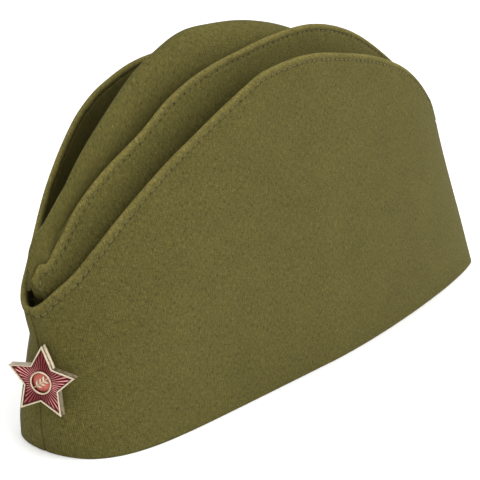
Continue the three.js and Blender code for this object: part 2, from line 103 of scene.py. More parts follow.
# Middle seams at front and back: their gap, how far from them the cloth is rounded, and the share of the
# wall that is left in them
SEAM_GAP = 0.004 * MM
SEAM_ROUND = 0.8 * MM
SEAM_REST = 0.3

# How square the folded rim is, and how far from its ends an inset wall's points slide along
RIM_SQUARENESS = 0.5
SLIDE = 12 * MM

# Small gap at the front, where the crown's sides stand back from the flap just above its lowest place
NOTCH_DEPTH = 5 * MM
NOTCH_LENGTH = 0.042
NOTCH_HEIGHT = 66.5 * MM
NOTCH_REACH = 11 * MM
NOTCH_FOOT = 44 * MM

# Heights along the cap, as shares of the height that each column follows, from front to back
PROFILE_COLUMNS = ("along", "flap_left", "flap_right", "ridge_left", "ridge_right", "crest")
PROFILE_ROWS = (
    (-1.0, 0.44, 0.44, 0.49, 0.49, 0.505),
    (-0.98, 0.465, 0.453, 0.531, 0.511, 0.546),
    (-0.955, 0.493, 0.471, 0.535, 0.536, 0.582),
    (-0.93, 0.514, 0.492, 0.57, 0.561, 0.596),
    (-0.9, 0.542, 0.514, 0.607, 0.588, 0.619),
    (-0.85, 0.592, 0.572, 0.672, 0.607, 0.662),
    (-0.75, 0.682, 0.7, 0.75, 0.67, 0.759),
    (-0.6, 0.792, 0.843, 0.831, 0.765, 0.868),
    (-0.5, 0.85, 0.902, 0.893, 0.83, 0.93),
    (-0.4, 0.903, 0.934, 0.934, 0.875, 0.969),
    (-0.3, 0.948, 0.956, 0.959, 0.9, 0.996),
    (-0.2, 0.984, 0.965, 0.974, 0.92, 1.001),
    (0.0, 0.996, 0.967, 0.993, 0.94, 0.984),
    (0.2, 0.963, 0.94, 0.991, 0.93, 0.94),
    (0.4, 0.912, 0.89, 0.941, 0.88, 0.865),
    (0.6, 0.83, 0.8, 0.846, 0.79, 0.777),
    (0.8, 0.701, 0.68, 0.722, 0.67, 0.67),
    (0.9, 0.621, 0.612, 0.625, 0.605, 0.607),
    (1.0, 0.565, 0.565, 0.55, 0.55, 0.55),
)

# The front fold at each height: its lean forward and its pinch, as shares of the reach and of the pinch
FRONT_COLUMNS = ("up", "lean", "pinch")
FRONT_ROWS = (
    (0.0, 0.12, -0.9),
    (0.17, 0.38, -0.6),
    (0.5, 0.3, 0.75),
    (0.7, 0.28, 1.6),
    (0.86, 0.6, 0.6),
    (1.0, 1.0, 0.0),
)

PROFILE = dict(zip(PROFILE_COLUMNS, np.array(PROFILE_ROWS).T))
FRONT_FOLD = dict(zip(FRONT_COLUMNS, np.array(FRONT_ROWS).T))

# The rim's ends, read from the flap's lowest points, which lean forward at the front
RIM_LEVEL = 0.1 * MM
RIM_POINTS = [v.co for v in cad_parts["flap_left"].data.vertices if v.co.z < RIM_LEVEL]
RIM_FRONT = min(point.y for point in RIM_POINTS) + FLAP_FRONT_REACH * FRONT_FOLD["lean"][0]
RIM_BACK = max(point.y for point in RIM_POINTS)

# How finely the panels are divided: along the cap, up a wall's plain part, and round an edge
STATIONS = 420
BODY_LEVELS = 40
EDGE_LEVELS = 6
TOP_BOWL_STEPS = 12
TOP_DOME_STEPS = 26

# Distances below a topstitched edge at which a wall has a row of points
HEM_STEPS = tuple(step * MM for step in (8, 6.8, 5.8, 5, 4.4, 3.9, 3.5, 3.1, 2.8, 2.5, 2.2, 1.8, 1.4, 1.1))

ALONG = -np.cos(np.pi * np.arange(STATIONS + 1) / STATIONS)


def length_setting(name, description, default, least):
    return bpy.props.FloatProperty(
        name=name, description=description, default=default, min=least, unit="LENGTH")


def colour_setting(name, description, default):
    return bpy.props.FloatVectorProperty(
        name=name, description=description, default=default, min=0, max=1, size=3, subtype="COLOR")


def strength_setting(name, description, default):
    return bpy.props.FloatProperty(name=name, description=description, default=default, min=0)


class CapSizes(bpy.types.PropertyGroup):
    """Main sizes of the cap"""

    rim_front_width: length_setting(
        "Rim front width", "Width of the rim's blunt front half", 60.4 * MM, 0.03)
    rim_back_width: length_setting(
        "Rim back width", "Width that the rim's back half tapers from", 45.2 * MM, 0.03)
    flap_height: length_setting(
        "Flap height", "Height of the turned-up flap at its highest", 128 * MM, 0.05)
    flap_spread: length_setting(
        "Flap spread", "Width between the flap's two upper edges", 58.2 * MM, 0.02)
    flap_wall: length_setting("Flap wall", "Thickness of the flap's doubled cloth", 2 * MM, 0.001)
    side_wall: length_setting("Side wall", "Thickness of the crown's side walls", 1.5 * MM, 0.001)
    top_wall: length_setting("Top wall", "Thickness of the crown top's cloth", 1.2 * MM, 0.0005)
    ridge_height: length_setting(
        "Ridge height", "Height of the seams that end the crown's sides", 134.5 * MM, 0.05)
    ridge_spread: length_setting("Ridge spread", "Width between the two ridges", 32 * MM, 0.01)
    crest_height: length_setting("Crest height", "Height of the puffed crown", 139 * MM, 0.05)
    valley_depth: length_setting("Valley depth", "How far the valleys lie below the ridges", 12 * MM, 0)
    hem_width: length_setting("Hem width", "From a folded edge to its topstitching", 2.6 * MM, 0.001)
    stitch_pitch: length_setting("Stitch pitch", "From one stitch to the next", 2.9 * MM, 0.001)
    stitch_width: length_setting(
        "Stitch width", "Width of the sewing thread as it lies on the cloth", 0.42 * MM, 0.0001)
    thread_pitch: length_setting(
        "Thread pitch", "From one thread of the weave to the next", 0.56 * MM, 0.0001)


class CapColours(bpy.types.PropertyGroup):
    """Colours of the cap's cloth and badge"""

    cotton: colour_setting("Cotton", "Colour of the olive cotton", (0.0935, 0.081, 0.0206))
    # Worn cotton: the colour of the rubbed hems, also used for the painted highlight along their very
    # edges
    worn_and_highlit: colour_setting(
        "Worn cotton", "Colour of the cotton where edges are rubbed", (0.150, 0.126, 0.035))
    thread: colour_setting("Sewing thread", "Colour of the topstitching", (0.125, 0.107, 0.036))
    gilt: colour_setting("Gilt", "Colour of the star's metal", (0.60, 0.51, 0.375))
    enamel: colour_setting("Red enamel", "Colour of the enamel where it lies deep", (0.08, 0.002, 0.003))
    # Painted highlight: the pinkish glint along the enamel's rays
    enamel_glint: colour_setting(
        "Red enamel on a ray", "Colour of the enamel where a ray shows through", (1.0, 0.44, 0.42))
    coral: colour_setting("Coral enamel", "Colour of the enamel in the star's middle", (0.45, 0.11, 0.08))


class CapStage(bpy.types.PropertyGroup):
    """Camera, light and floor"""

    azimuth: bpy.props.FloatProperty(
        name="Azimuth", description="Turn of the camera round the cap, from its front towards its left",
        default=math.radians(39.19), subtype="ANGLE")
    elevation: bpy.props.FloatProperty(
        name="Elevation", description="Height of the camera above the floor, as an angle",
        default=math.radians(17.86), subtype="ANGLE")
    distance: length_setting("Distance", "From the camera to the middle of the cap", 0.9, 0.3)
    lens: bpy.props.FloatProperty(
        name="Lens", description="Focal length on a sensor 36 mm wide", default=173.5, min=20)
    sky: strength_setting("Surroundings", "Strength of the even white light from all round", 0.68)
    key: strength_setting("Key light", "Power of the soft light above and to the right, in watts", 2)
    back: strength_setting("Back light", "Power of the soft light on the cap's back, in watts", 20)
    top: strength_setting("Top light", "Power of the broad soft light above the cap, in watts", 36)
    fill: strength_setting("Fill light", "Power of the soft light on the near flap, in watts", 3.5)


def smooth(table, key, column, at):
    """A smooth curve through one column of a table."""
    xs = table[key]
    ys = table[column]
    last = len(xs) - 1
    at = np.clip(at, xs[0], xs[-1])
    i = np.clip(np.searchsorted(xs, at) - 1, 0, last - 1)
    after = np.minimum(np.arange(last + 1) + 1, last)
    before = np.maximum(np.arange(last + 1) - 1, 0)
    slope = (ys[after] - ys[before]) / (xs[after] - xs[before])
    span = xs[i + 1] - xs[i]
    rise = ys[i + 1] - ys[i]
    t = (at - xs[i]) / span
    bend = (1 - t) * (slope[i] * span - rise) - t * (slope[i + 1] * span - rise)
    return ys[i] + t * rise + t * (1 - t) * bend


def blend(a, b, share):
    return a + (b - a) * share


def leaf_half_width(along, front, back):
    """Half width of a leaf-shaped outline. Each end is a width, a roundness and a point."""
    width = blend(front[0], back[0], (along + 1) / 2)
    roundness = np.where(along < 0, front[1], back[1])
    point = np.where(along < 0, front[2], back[2])
    return width / 2 * np.maximum(0, 1 - np.abs(along) ** roundness) ** point


def rim_outline(sizes, along):
    front = (sizes.rim_front_width, NOSE_BLUNTNESS, ROUND_POINT)
    back = (sizes.rim_back_width, TAIL_ROUNDNESS, TAIL_POINT)
    return leaf_half_width(along, front, back), blend(RIM_FRONT, RIM_BACK, (along + 1) / 2)


def flap_outline(sizes, along):
    nose = (sizes.flap_spread, FLAP_FRONT_ROUNDNESS, ROUND_POINT)
    tail = (sizes.flap_spread, FLAP_BACK_ROUNDNESS, FLAP_BACK_POINT)
    y = blend(RIM_FRONT - FLAP_FRONT_REACH, RIM_BACK - FLAP_BACK_SETBACK, (along + 1) / 2)
    return leaf_half_width(along, nose, tail), y


def ridge_outline(sizes, along):
    x = sizes.ridge_spread / 2 * np.sqrt(np.maximum(0, 1 - along * along))
    return x, blend(RIM_FRONT - RIDGE_FRONT_REACH, RIM_BACK - RIDGE_BACK_SETBACK, (along + 1) / 2)


def flap_level(sizes, up):
    """One level of the flap's outer face, seen from above, from front to back."""
    rim_x, rim_y = rim_outline(sizes, ALONG)
    edge_x, edge_y = flap_outline(sizes, ALONG)
    fade = np.exp(-(ALONG + 1) / FRONT_FOLD_LENGTH)
    straight = blend(rim_x, edge_x, up)
    bulge = FLAP_BULGE * np.sin(np.pi * up) * np.sqrt(np.maximum(0, 1 - ALONG * ALONG))
    pinch = FRONT_PINCH * fade * smooth(FRONT_FOLD, "up", "pinch", up)
    pinch = pinch * np.minimum(1, straight / (sizes.rim_front_width * PINCH_FULL_SHARE))
    lean = FLAP_FRONT_REACH * fade * (smooth(FRONT_FOLD, "up", "lean", up) - up)
    return np.column_stack([straight + bulge - pinch + SEAM_GAP / 2, blend(rim_y, edge_y, up) - lean])


def lengths(points):
    """Distance along a line of points, up to each of them."""
    steps = np.linalg.norm(np.diff(points, axis=0), axis=1)
    return np.concatenate([[0], np.cumsum(steps)])


def inset(points, depth):
    """Moves a level inwards and clips it at the middle seam. Its points slide along it near its ends."""
    after = np.minimum(np.arange(len(points)) + 1, len(points) - 1)
    before = np.maximum(np.arange(len(points)) - 1, 0)
    step = points[after] - points[before]
    length = np.hypot(step[:, 0], step[:, 1])
    moved = points + np.column_stack([-step[:, 1], step[:, 0]]) * (depth / length)[:, None]
    beyond = moved[:, 0] <= SEAM_GAP / 2
    widest = int(np.argmax(moved[:, 0]))
    first = widest - int(np.argmax(beyond[widest::-1])) + 1 if beyond[:widest].any() else 0
    last = widest + int(np.argmax(beyond[widest:])) - 1 if beyond[widest:].any() else len(points) - 1
    start = seam_crossing(moved[first], moved[max(first - 1, 0)])
    end = seam_crossing(moved[last], moved[min(last + 1, len(points) - 1)])
    arc = lengths(moved)
    run = lengths(points)
    opening = arc[first] - math.dist(start, moved[first])
    closing = arc[last] + math.dist(end, moved[last])
    at = arc + opening * np.exp(-run / SLIDE) + (closing - arc[-1]) * np.exp((run - run[-1]) / SLIDE)
    at = np.maximum.accumulate(np.clip(at, opening, closing))
    line = np.vstack([start, moved[first:last + 1], end])
    own = np.concatenate([[opening], arc[first:last + 1], [closing]])
    return np.column_stack([np.interp(at, own, line[:, 0]), np.interp(at, own, line[:, 1])])


def seam_crossing(a, b):
    """Where the line from a to b meets the middle seam."""
    seam = SEAM_GAP / 2
    run = b[0] - a[0]
    share = min(1, max(0, (seam - a[0]) / run)) if run else 0
    return seam, blend(a[1], b[1], share)


def heights(sizes, edge, hand):
    """Height of the flap's edge or of the ridge at each station."""
    full = sizes.flap_height if edge == "flap" else sizes.ridge_height
    return full * smooth(PROFILE, "along", f"{edge}_{hand}", ALONG)


def side_level(sizes, hand, up):
    """One level of the crown side: it follows the inside of the flap and then reaches for the ridge."""
    edge_up = heights(sizes, "flap", hand) / heights(sizes, "ridge", hand)
    clear = sizes.flap_wall + LAYER_GAP
    whole = np.ones_like(ALONG)
    base = inset(flap_level(sizes, np.minimum(1, up / edge_up)), (clear + FOLD_EASE * up) * whole)
    tucked = inset(flap_level(sizes, np.minimum(1, 1 / edge_up)), (clear + FOLD_EASE) * whole)
    ridge_x, ridge_y = ridge_outline(sizes, ALONG)
    inwards = ridge_x + SEAM_GAP / 2 - tucked[:, 0]
    start = np.minimum(edge_up, LATEST_REACH)
    reaching = soft_above((up - start) / (1 - start))
    x = base[:, 0] + inwards * np.where(inwards < 0, up * up, reaching)
    y = base[:, 1] + (ridge_y - tucked[:, 1]) * reaching
    z = up * heights(sizes, "ridge", hand)
    notch = NOTCH_DEPTH * np.exp(-(ALONG + 1) / NOTCH_LENGTH)
    below_top = np.clip((NOTCH_HEIGHT - z) / NOTCH_REACH, 0, 1)
    above_foot = np.clip((z - NOTCH_FOOT) / NOTCH_REACH, 0, 1)
    return np.column_stack([np.maximum(SEAM_GAP / 2, x), y + notch * (below_top * above_foot)])


def soft_above(value):
    """Zero below zero and the value above it, with a soft start."""
    return (value + np.sqrt(value * value + REACH_SOFTNESS ** 2)) / (1 + math.hypot(1, REACH_SOFTNESS))


def waves(at, lengths_of_waves, seed):
    """A soft irregular ripple between about -1 and 1, the sum of waves of the given lengths."""
    chance = np.random.default_rng(seed)
    total = np.zeros_like(at)
    for length in lengths_of_waves:
        total += np.sin(2 * np.pi * at / length + chance.uniform(0, 2 * np.pi))
    return total / math.sqrt(len(lengths_of_waves))


# Relief of a topstitched hem
GROOVE_DEPTH = 0.34 * MM
GROOVE_WIDTH = 0.42 * MM
HEM_PUFF = 0.22 * MM
PUCKER_DEPTH = 0.13 * MM
PUCKER_REACH = 3.4 * MM
PUCKER_WAVES = (0.0061, 0.0083, 0.0117, 0.0171)


def hem_relief(below, run, hem, seed):
    """How far the cloth stands out at a distance below its stitched edge."""
    groove = -GROOVE_DEPTH * np.exp(-((below - hem) / GROOVE_WIDTH) ** 2)
    puff = HEM_PUFF * np.sin(np.pi * np.clip(below / hem, 0, 1))
    pucker = PUCKER_DEPTH * waves(run, PUCKER_WAVES, seed) * np.exp(-((below - hem) / PUCKER_REACH) ** 2)
    return groove + puff + pucker * np.minimum(1, below / hem)


# How a sloping edge leans: at most this much, over steps no shorter than this, evened over these stations
STEEPEST_LEAN = 2.4
LEAST_STEP = 0.05 * MM
EVENING_STATIONS = 12

# How far below its hem a wall's plain part counts as lying, at most
BODY_BELOW = 50 * MM


def leaning(heights_along, y):
    """How much longer a sloping edge is than its way along the cap, evened between stations."""
    slope = np.gradient(heights_along) / np.maximum(np.gradient(y), LEAST_STEP)
    padded = np.pad(np.minimum(np.hypot(1, slope), STEEPEST_LEAN), EVENING_STATIONS, mode="edge")
    window = np.ones(2 * EVENING_STATIONS + 1) / (2 * EVENING_STATIONS + 1)
    return np.convolve(padded, window, mode="valid")


def wall_rows(level, top, wall, hem, seed, sag):
    """Rows of points once round a cloth wall: up its outer face, over the top, down the inner face and
    under the rim. level gives the outer face from above at each height, and sag how far the whole wall
    is pushed in."""
    run = lengths(level(top / 2))
    from_end = np.minimum(run, run[-1] - run)
    eased = np.sqrt(np.clip(1 - (1 - np.minimum(1, from_end / SEAM_ROUND)) ** 2, 0, 1))
    eased = SEAM_REST + (1 - SEAM_REST) * eased
    lean = leaning(top, level(top)[:, 1])
    half = wall / 2
    stitched = top - half

    def row(z, side, out):
        depth = half * (1 + side * eased) + (side * out + sag(z, run)) * eased
        return np.column_stack([inset(level(z), depth), z])

    faces = []
    for side in (-1, 1):
        face = []
        low = half * np.ones_like(top)
        high = top - HEM_STEPS[0] * lean
        for k in range(BODY_LEVELS):
            face.append(row(blend(low, high, k / BODY_LEVELS), side, 0))
        for below in HEM_STEPS:
            z = np.minimum(top - below * lean, stitched)
            face.append(row(z, side, hem_relief(below, run, hem, seed)))
        faces.append(face)
    outer, inner = faces
    plain = np.linspace(1, 0, BODY_LEVELS, endpoint=False) * BODY_BELOW + HEM_STEPS[0]
    below = [*plain, *HEM_STEPS]
    turns = np.pi * np.arange(1, EDGE_LEVELS) / EDGE_LEVELS
    over = [row(stitched + half * math.sin(turn), -math.cos(turn), 0) for turn in turns]
    under = []
    for turn in turns:
        across = math.copysign(abs(math.cos(turn)) ** RIM_SQUARENESS, math.cos(turn))
        z = half * (1 - math.sin(turn) ** RIM_SQUARENESS)
        under.append(row(z * np.ones_like(top), across, 0))
    rows = [*outer, *over, *inner[::-1], *under, outer[0]]
    nothing = [0] * len(over)
    far = [BODY_BELOW + HEM_STEPS[0]] * (len(under) + 1)
    below = np.array([*below, *nothing, *below[::-1], *far])
    stitch_row = BODY_LEVELS + int(np.argmin([abs(step - hem) for step in HEM_STEPS]))
    marks = {
        "outer": stitch_row,
        "inner": len(outer) + len(over) + len(inner) - 1 - stitch_row,
        "below": below,
    }
    return np.array(rows), run, marks


def normals_of(rows):
    """Outward directions of a wall's rows of points."""
    across = np.cross(np.gradient(rows, axis=1), np.gradient(rows, axis=0))
    return across / np.maximum(np.linalg.norm(across, axis=2, keepdims=True), 1e-12)


def deselect():
    bpy.ops.object.select_all(action="DESELECT")


def choose(*pieces):
    """Selects these pieces and nothing else, and makes the first one active."""
    deselect()
    for piece in pieces:
        piece.select_set(True)
    bpy.context.view_layer.objects.active = pieces[0]


def edit(piece):
    """Opens a piece in edit mode with all of it selected."""
    choose(piece)
    bpy.ops.object.mode_set(mode="EDIT")
    bpy.ops.mesh.select_all(action="SELECT")


def close_edit():
    bpy.ops.object.mode_set(mode="OBJECT")


def shaped_grid(name, points, flat, **values):
    """Lays a grid out by rows of points, with its place on the flat cloth and other values at each."""
    rows, columns = points.shape[:2]
    deselect()
    bpy.ops.mesh.primitive_grid_add(x_subdivisions=columns - 1, y_subdivisions=rows - 1, size=1)
    piece = bpy.context.active_object
    piece.name = name
    mesh = piece.data
    mesh.name = name
    start = np.empty(len(mesh.vertices) * 3, np.float32)
    mesh.vertices.foreach_get("co", start)
    start = start.reshape(-1, 3)
    column = np.rint((start[:, 0] + 0.5) * (columns - 1)).astype(int)
    row = np.rint((start[:, 1] + 0.5) * (rows - 1)).astype(int)
    mesh.vertices.foreach_set("co", points[row, column].astype(np.float32).ravel())
    corners = np.empty(len(mesh.loops), np.int32)
    mesh.loops.foreach_get("vertex_index", corners)
    mesh.uv_layers.active.name = "cloth"
    mesh.uv_layers.active.data.foreach_set("uv", flat[row, column][corners].astype(np.float32).ravel())
    for label, value in values.items():
        attribute = mesh.attributes.new(label, "FLOAT", "POINT")
        attribute.data.foreach_set("value", value[row, column].astype(np.float32))
    mesh.update()
    return piece


WELD_REACH = 0.002 * MM


def weld(piece):
    """Closes a piece where its edges meet and at its open ends, and turns all its faces outwards."""
    edit(piece)
    bpy.ops.mesh.remove_doubles(threshold=WELD_REACH)
    bpy.ops.mesh.select_mode(type="EDGE")
    bpy.ops.mesh.select_all(action="DESELECT")
    bpy.ops.mesh.select_non_manifold(extend=False, use_wire=False, use_multi_face=False,
                                     use_non_contiguous=False, use_verts=False)
    bpy.ops.mesh.mark_sharp()
    bpy.ops.mesh.fill_holes(sides=0)
    bpy.ops.mesh.select_mode(type="VERT")
    bpy.ops.mesh.select_all(action="SELECT")
    bpy.ops.mesh.normals_make_consistent(inside=False)
    close_edit()
    bpy.ops.object.shade_smooth()


def finish_piece(piece, material, slot, *nodes):
    """Gives a piece its material and its body, and hides the parts that it stands for."""
    piece.data.materials.clear()
    piece.data.materials.append(material)
    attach(piece, "root")
    if nodes:
        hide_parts(*nodes)


# A stitch's length as a share of the pitch, its height as a share of its width, how deep it sinks into the
# cloth, and how far ahead on its line it looks for its direction
STITCH_LENGTH_SHARE = 0.74
STITCH_HEIGHT_SHARE = 0.8
STITCH_SINK = 0.02 * MM
STITCH_AHEAD = 0.4 * MM


def one_stitch(sizes):
    """A single stitch, lying along X with its back to Z."""
    deselect()
    bpy.ops.mesh.primitive_uv_sphere_add(segments=8, ring_count=6, radius=0.5)
    stitch = bpy.context.active_object
    stitch.data.transform(Matrix.Rotation(math.pi / 2, 4, "Y"))
    edit(stitch)
    length = sizes.stitch_pitch * STITCH_LENGTH_SHARE
    width = sizes.stitch_width
    bpy.ops.transform.resize(value=(length, width, width * STITCH_HEIGHT_SHARE))
    close_edit()
    bpy.ops.object.shade_smooth()
    return stitch


def stitch_spacing(sizes, run):
    """Stitch pitch that divides a line evenly."""
    return run[-1] / round(run[-1] / sizes.stitch_pitch)


def along_line(places, run, line):
    """Points or directions at given distances along a line of them."""
    return np.column_stack([np.interp(places, run, line[:, axis]) for axis in range(3)])


def lay_stitches(name, sizes, lines, material):
    """Sews stitches along lines, each a row of points and a row of outward directions."""
    pattern = one_stitch(sizes)
    pieces = []
    for points, outward in lines:
        run = lengths(points)
        spacing = stitch_spacing(sizes, run)
        places = np.arange(1, round(run[-1] / spacing)) * spacing
        centre = along_line(places, run, points)
        ahead = along_line(places + STITCH_AHEAD, run, points)
        away = along_line(places, run, outward)
        for at, to, out in zip(centre, ahead, away):
            x = Vector(to - at).normalized()
            z = Vector(out)
            z = (z - x * z.dot(x)).normalized()
            y = z.cross(x)
            place = Matrix((x, y, z)).transposed().to_4x4()
            place.translation = Vector(at) - z * STITCH_SINK
            mesh = pattern.data.copy()
            mesh.transform(place)
            copy = bpy.data.objects.new(name, mesh)
            bpy.context.collection.objects.link(copy)
            pieces.append(copy)
    bpy.data.objects.remove(pattern)
    choose(*pieces)
    bpy.ops.object.join()
    sewn = bpy.context.active_object
    sewn.name = name
    finish_piece(sewn, material, "cloth")


def flat_layout(rows, run):
    """Where each point of a wall lies on the flat cloth: along the cap, and round the wall."""
    steps = np.linalg.norm(np.diff(rows, axis=0), axis=2)
    up = np.vstack([np.zeros(rows.shape[1]), np.cumsum(steps, axis=0)])
    return np.stack([np.broadcast_to(run, up.shape), up], axis=2)


# Rubbing over the hem, with a painted highlight along the very edge: how far the highlight reaches from
# the edge, how strong the rubbing is over the hem, the share of the hem that it covers, and how softly it
# ends
EDGE_HIGHLIGHT_REACH = 0.8 * MM
HEM_WEAR = 0.36
HEM_WEAR_SHARE = 0.85
HEM_WEAR_SOFTNESS = 0.4 * MM


def wear_and_edge_highlight(sizes, below):
    """Rubbing over a wall's stitched hem, with a painted highlight along the very edge, from 0 to 1."""
    strip = 1 / (1 + np.exp((below - HEM_WEAR_SHARE * sizes.hem_width) / HEM_WEAR_SOFTNESS))
    return HEM_WEAR * strip + (1 - HEM_WEAR) * np.exp(-((below / EDGE_HIGHLIGHT_REACH) ** 2))


def sew_wall(name, sizes, hand, level, top, wall, seed, sag, stitched):
    """Makes one side's wall and returns its stitch lines."""
    rows, run, marks = wall_rows(level, top, wall, sizes.hem_width, seed, sag)
    outward = normals_of(rows)
    flat = flat_layout(rows, run) + seed * CLOTH_SHIFT
    below = np.repeat(marks["below"][:, None], rows.shape[1], axis=1)
    sewn = lengths(rows[marks["outer"]])
    stitch = np.broadcast_to(sewn / stitch_spacing(sizes, sewn), below.shape)
    if hand == "right":
        rows = rows * np.array([-1, 1, 1])
        outward = outward * np.array([-1, 1, 1])
    # Rubbing over the hem and a painted highlight along the very edge, as one mask
    wear = wear_and_edge_highlight(sizes, below)
    piece = shaped_grid(f"{name}_{hand}_cloth", rows, flat, wear=wear, below=below, stitch=stitch)
    weld(piece)
    finish_piece(piece, cotton_material(), "cloth", f"{name}_{hand}")
    return [(rows[marks[face]], outward[marks[face]]) for face in stitched]


# What each wall's seed moves its weave by, so that no two walls show the same slubs
CLOTH_SHIFT = 13.7 * MM
FLAP_SEEDS = {"left": 11, "right": 23}
SIDE_SEEDS = {"left": 37, "right": 41}

# Soft waves of the walls: how deep, how long in metres, how they slant, and the height where they are full
FLAP_SAG = 0.45 * MM
SIDE_SAG = 0.5 * MM
BROAD_WAVES = (0.071, 0.113, 0.167)
BROAD_SLANT = 0.35
TALL_WAVES = (0.083, 0.131)
TALL_SLANT = 0.2
SAG_FULL_HEIGHT = 30 * MM


def soft_sag(amount, seed):
    """How far a wall is pushed in here and there, fading out at its rim."""
    def sag(z, run):
        broad = waves(run + BROAD_SLANT * z, BROAD_WAVES, seed)
        tall = waves(z - TALL_SLANT * run, TALL_WAVES, seed + 1)
        return amount / 2 * (broad + tall) * np.clip(z / SAG_FULL_HEIGHT, 0, 1)
    return sag


class CAP_OT_flaps(bpy.types.Operator):
    """Sew the two halves of the turned-up flap, with their topstitched upper edges"""

    bl_idname = "cap.flaps"
    bl_label = "Flaps"

    def execute(self, context):
        sizes = context.scene.cap_sizes
        lines = []
        for hand, seed in FLAP_SEEDS.items():
            top = heights(sizes, "flap", hand)

            def level(z, top=top):
                return flap_level(sizes, np.clip(z / top, 0, 1))

            lines += sew_wall("flap", sizes, hand, level, top, sizes.flap_wall, seed,
                              soft_sag(FLAP_SAG, seed), ("outer", "inner"))
        lay_stitches("flap_stitches", sizes, lines, thread_material())
        return {"FINISHED"}


class CAP_OT_crown_sides(bpy.types.Operator):
    """Sew the crown's two side walls, up to their topstitched ridges"""

    bl_idname = "cap.crown_sides"
    bl_label = "Crown sides"

    def execute(self, context):
        sizes = context.scene.cap_sizes
        lines = []
        for hand, seed in SIDE_SEEDS.items():
            top = heights(sizes, "ridge", hand)

            def level(z, top=top, hand=hand):
                return side_level(sizes, hand, np.clip(z / top, 0, 1))

            lines += sew_wall("crown_side", sizes, hand, level, top, sizes.side_wall, seed,
                              soft_sag(SIDE_SAG, seed), ("outer",))
        lay_stitches("ridge_stitches", sizes, lines, thread_material())
        return {"FINISHED"}


def crown_top_row(sizes, hand, share, bowl):
    """Places and heights along the crown top, at a share of the way from its middle to a valley, or on the
    bowl at a share of the way from the valley to the ridge."""
    ridge_x, ridge_y = ridge_outline(sizes, ALONG)
    half = np.maximum(ridge_x, TOP_END_WIDTH / 2)
    taper = np.gradient(ridge_x) / np.maximum(np.gradient(ridge_y), LEAST_STEP)
    lip = TOP_LIP * np.minimum(np.hypot(1, taper), STEEPEST_LEAN)
    full = sizes.ridge_spread / 2
    opened = np.clip((half - lip) / (full - TOP_LIP), 0, 1)
    valley_place = VALLEY_PLACE * np.maximum(half - lip, half * TOP_INSIDE_AT_ENDS)
    edge_place = np.maximum(half - TOP_TUCK * lip / TOP_LIP, half * TOP_INSIDE_AT_ENDS)
    ridge = heights(sizes, "ridge", hand)
    drop = TOP_DROP * leaning(ridge, ridge_y)
    valley = ridge - sizes.valley_depth * opened
    crest = sizes.crest_height * smooth(PROFILE, "along", "crest", ALONG)
    ease = np.clip(opened / DOME_OPENS, 0, 1)
    dome = blend(half, valley_place, ease * ease * (3 - 2 * ease))
    place = blend(share * valley_place, edge_place, bowl)
    climbed = blend(valley, ridge - drop, math.sin(math.pi / 2 * bowl))
    puffed = blend(valley, crest, np.maximum(0, 1 - (place / dome) ** 2) ** DOME_FULLNESS)
    return place, ridge_y, np.maximum(climbed, puffed), ridge


# Soft folds of the crown top: their height, the least share of it near the ends, how fast they fade out
# towards the ridges, how long they are in metres and how they slant
TOP_FOLD = 0.12 * MM
TOP_FOLD_AT_ENDS = 0.3
TOP_FOLD_FADE = 3
TOP_WAVES = (0.037, 0.053, 0.083)
TOP_SLANT = 0.6
TOP_SEED = 57

# How far the crown top's edge reaches down inside the crown sides
TOP_SKIRT = 3.5 * MM


class CAP_OT_crown_top(bpy.types.Operator):
    """Puff the crown top up between its two valleys"""

    bl_idname = "cap.crown_top"
    bl_label = "Crown top"

    def execute(self, context):
        sizes = context.scene.cap_sizes
        bowl = np.linspace(1, 0, TOP_BOWL_STEPS, endpoint=False)
        dome = np.cos(np.linspace(0, np.pi / 2, TOP_DOME_STEPS + 1))
        shares = [*((1, step) for step in bowl), *((step, 0) for step in dome)]
        rows = []
        for hand, side, steps in (("left", 1, shares), ("right", -1, shares[-2::-1])):
            half = []
            for share, step in steps:
                x, y, z, ridge = crown_top_row(sizes, hand, share, step)
                soft = min(1, TOP_FOLD_FADE * (1 - step)) * np.clip(x.max() / MM, TOP_FOLD_AT_ENDS, 1)
                fold = TOP_FOLD * soft * waves(y + TOP_SLANT * side * x, TOP_WAVES, TOP_SEED)
                half.append(np.column_stack([side * x, y, z + fold]))
            skirt = np.array(half[0 if side > 0 else -1])
            skirt[:, 2] = np.minimum(skirt[:, 2], ridge) - TOP_SKIRT
            rows += [skirt, *half] if side > 0 else [*half, skirt]
        rows = np.array(rows)[::-1]
        flat = flat_layout(rows, lengths(rows[len(rows) // 2]))
        plain = np.zeros(rows.shape[:2])
        piece = shaped_grid("crown_top_cloth", rows, flat, wear=plain, below=plain + 1, stitch=plain)
        # The rows run from the right ridge to the left one, so the faces start out pointing down
        piece.data.flip_normals()
        solidify = piece.modifiers.new("Wall", "SOLIDIFY")
        solidify.thickness = sizes.top_wall
        solidify.offset = -1
        choose(piece)
        bpy.ops.object.modifier_apply(modifier=solidify.name)
        weld(piece)
        finish_piece(piece, cotton_material(), "cloth", "crown_top")
        return {"FINISHED"}


# Star badge. Its middle comes from the enamel disc in the middle of it.
STAR_POINTS = 5
STAR_STEP = math.pi / STAR_POINTS
STAR_RADIUS = 14.1 * MM
STAR_WAIST = 0.51
STAR_TURN = math.radians(15)
STAR_TILT = math.radians(-2.5)
STAR_THICKNESS = 3.2 * MM
STAR_TIP_ROUND = 0.3 * MM
STAR_TIP_PEAK = 0.25
DISC_MIDDLE_ABOVE_BACK = 2.025 * MM
METAL_SMOOTHING = math.radians(50)

# Ring round the star's middle, and the domed enamel inside it
RING_RADIUS = 4 * MM
RING_WIDTH = 0.65 * MM
RING_SINK = 0.1 * MM
MIDDLE_HEIGHT = 1.75 * MM
MIDDLE_RISE = 0.95 * MM

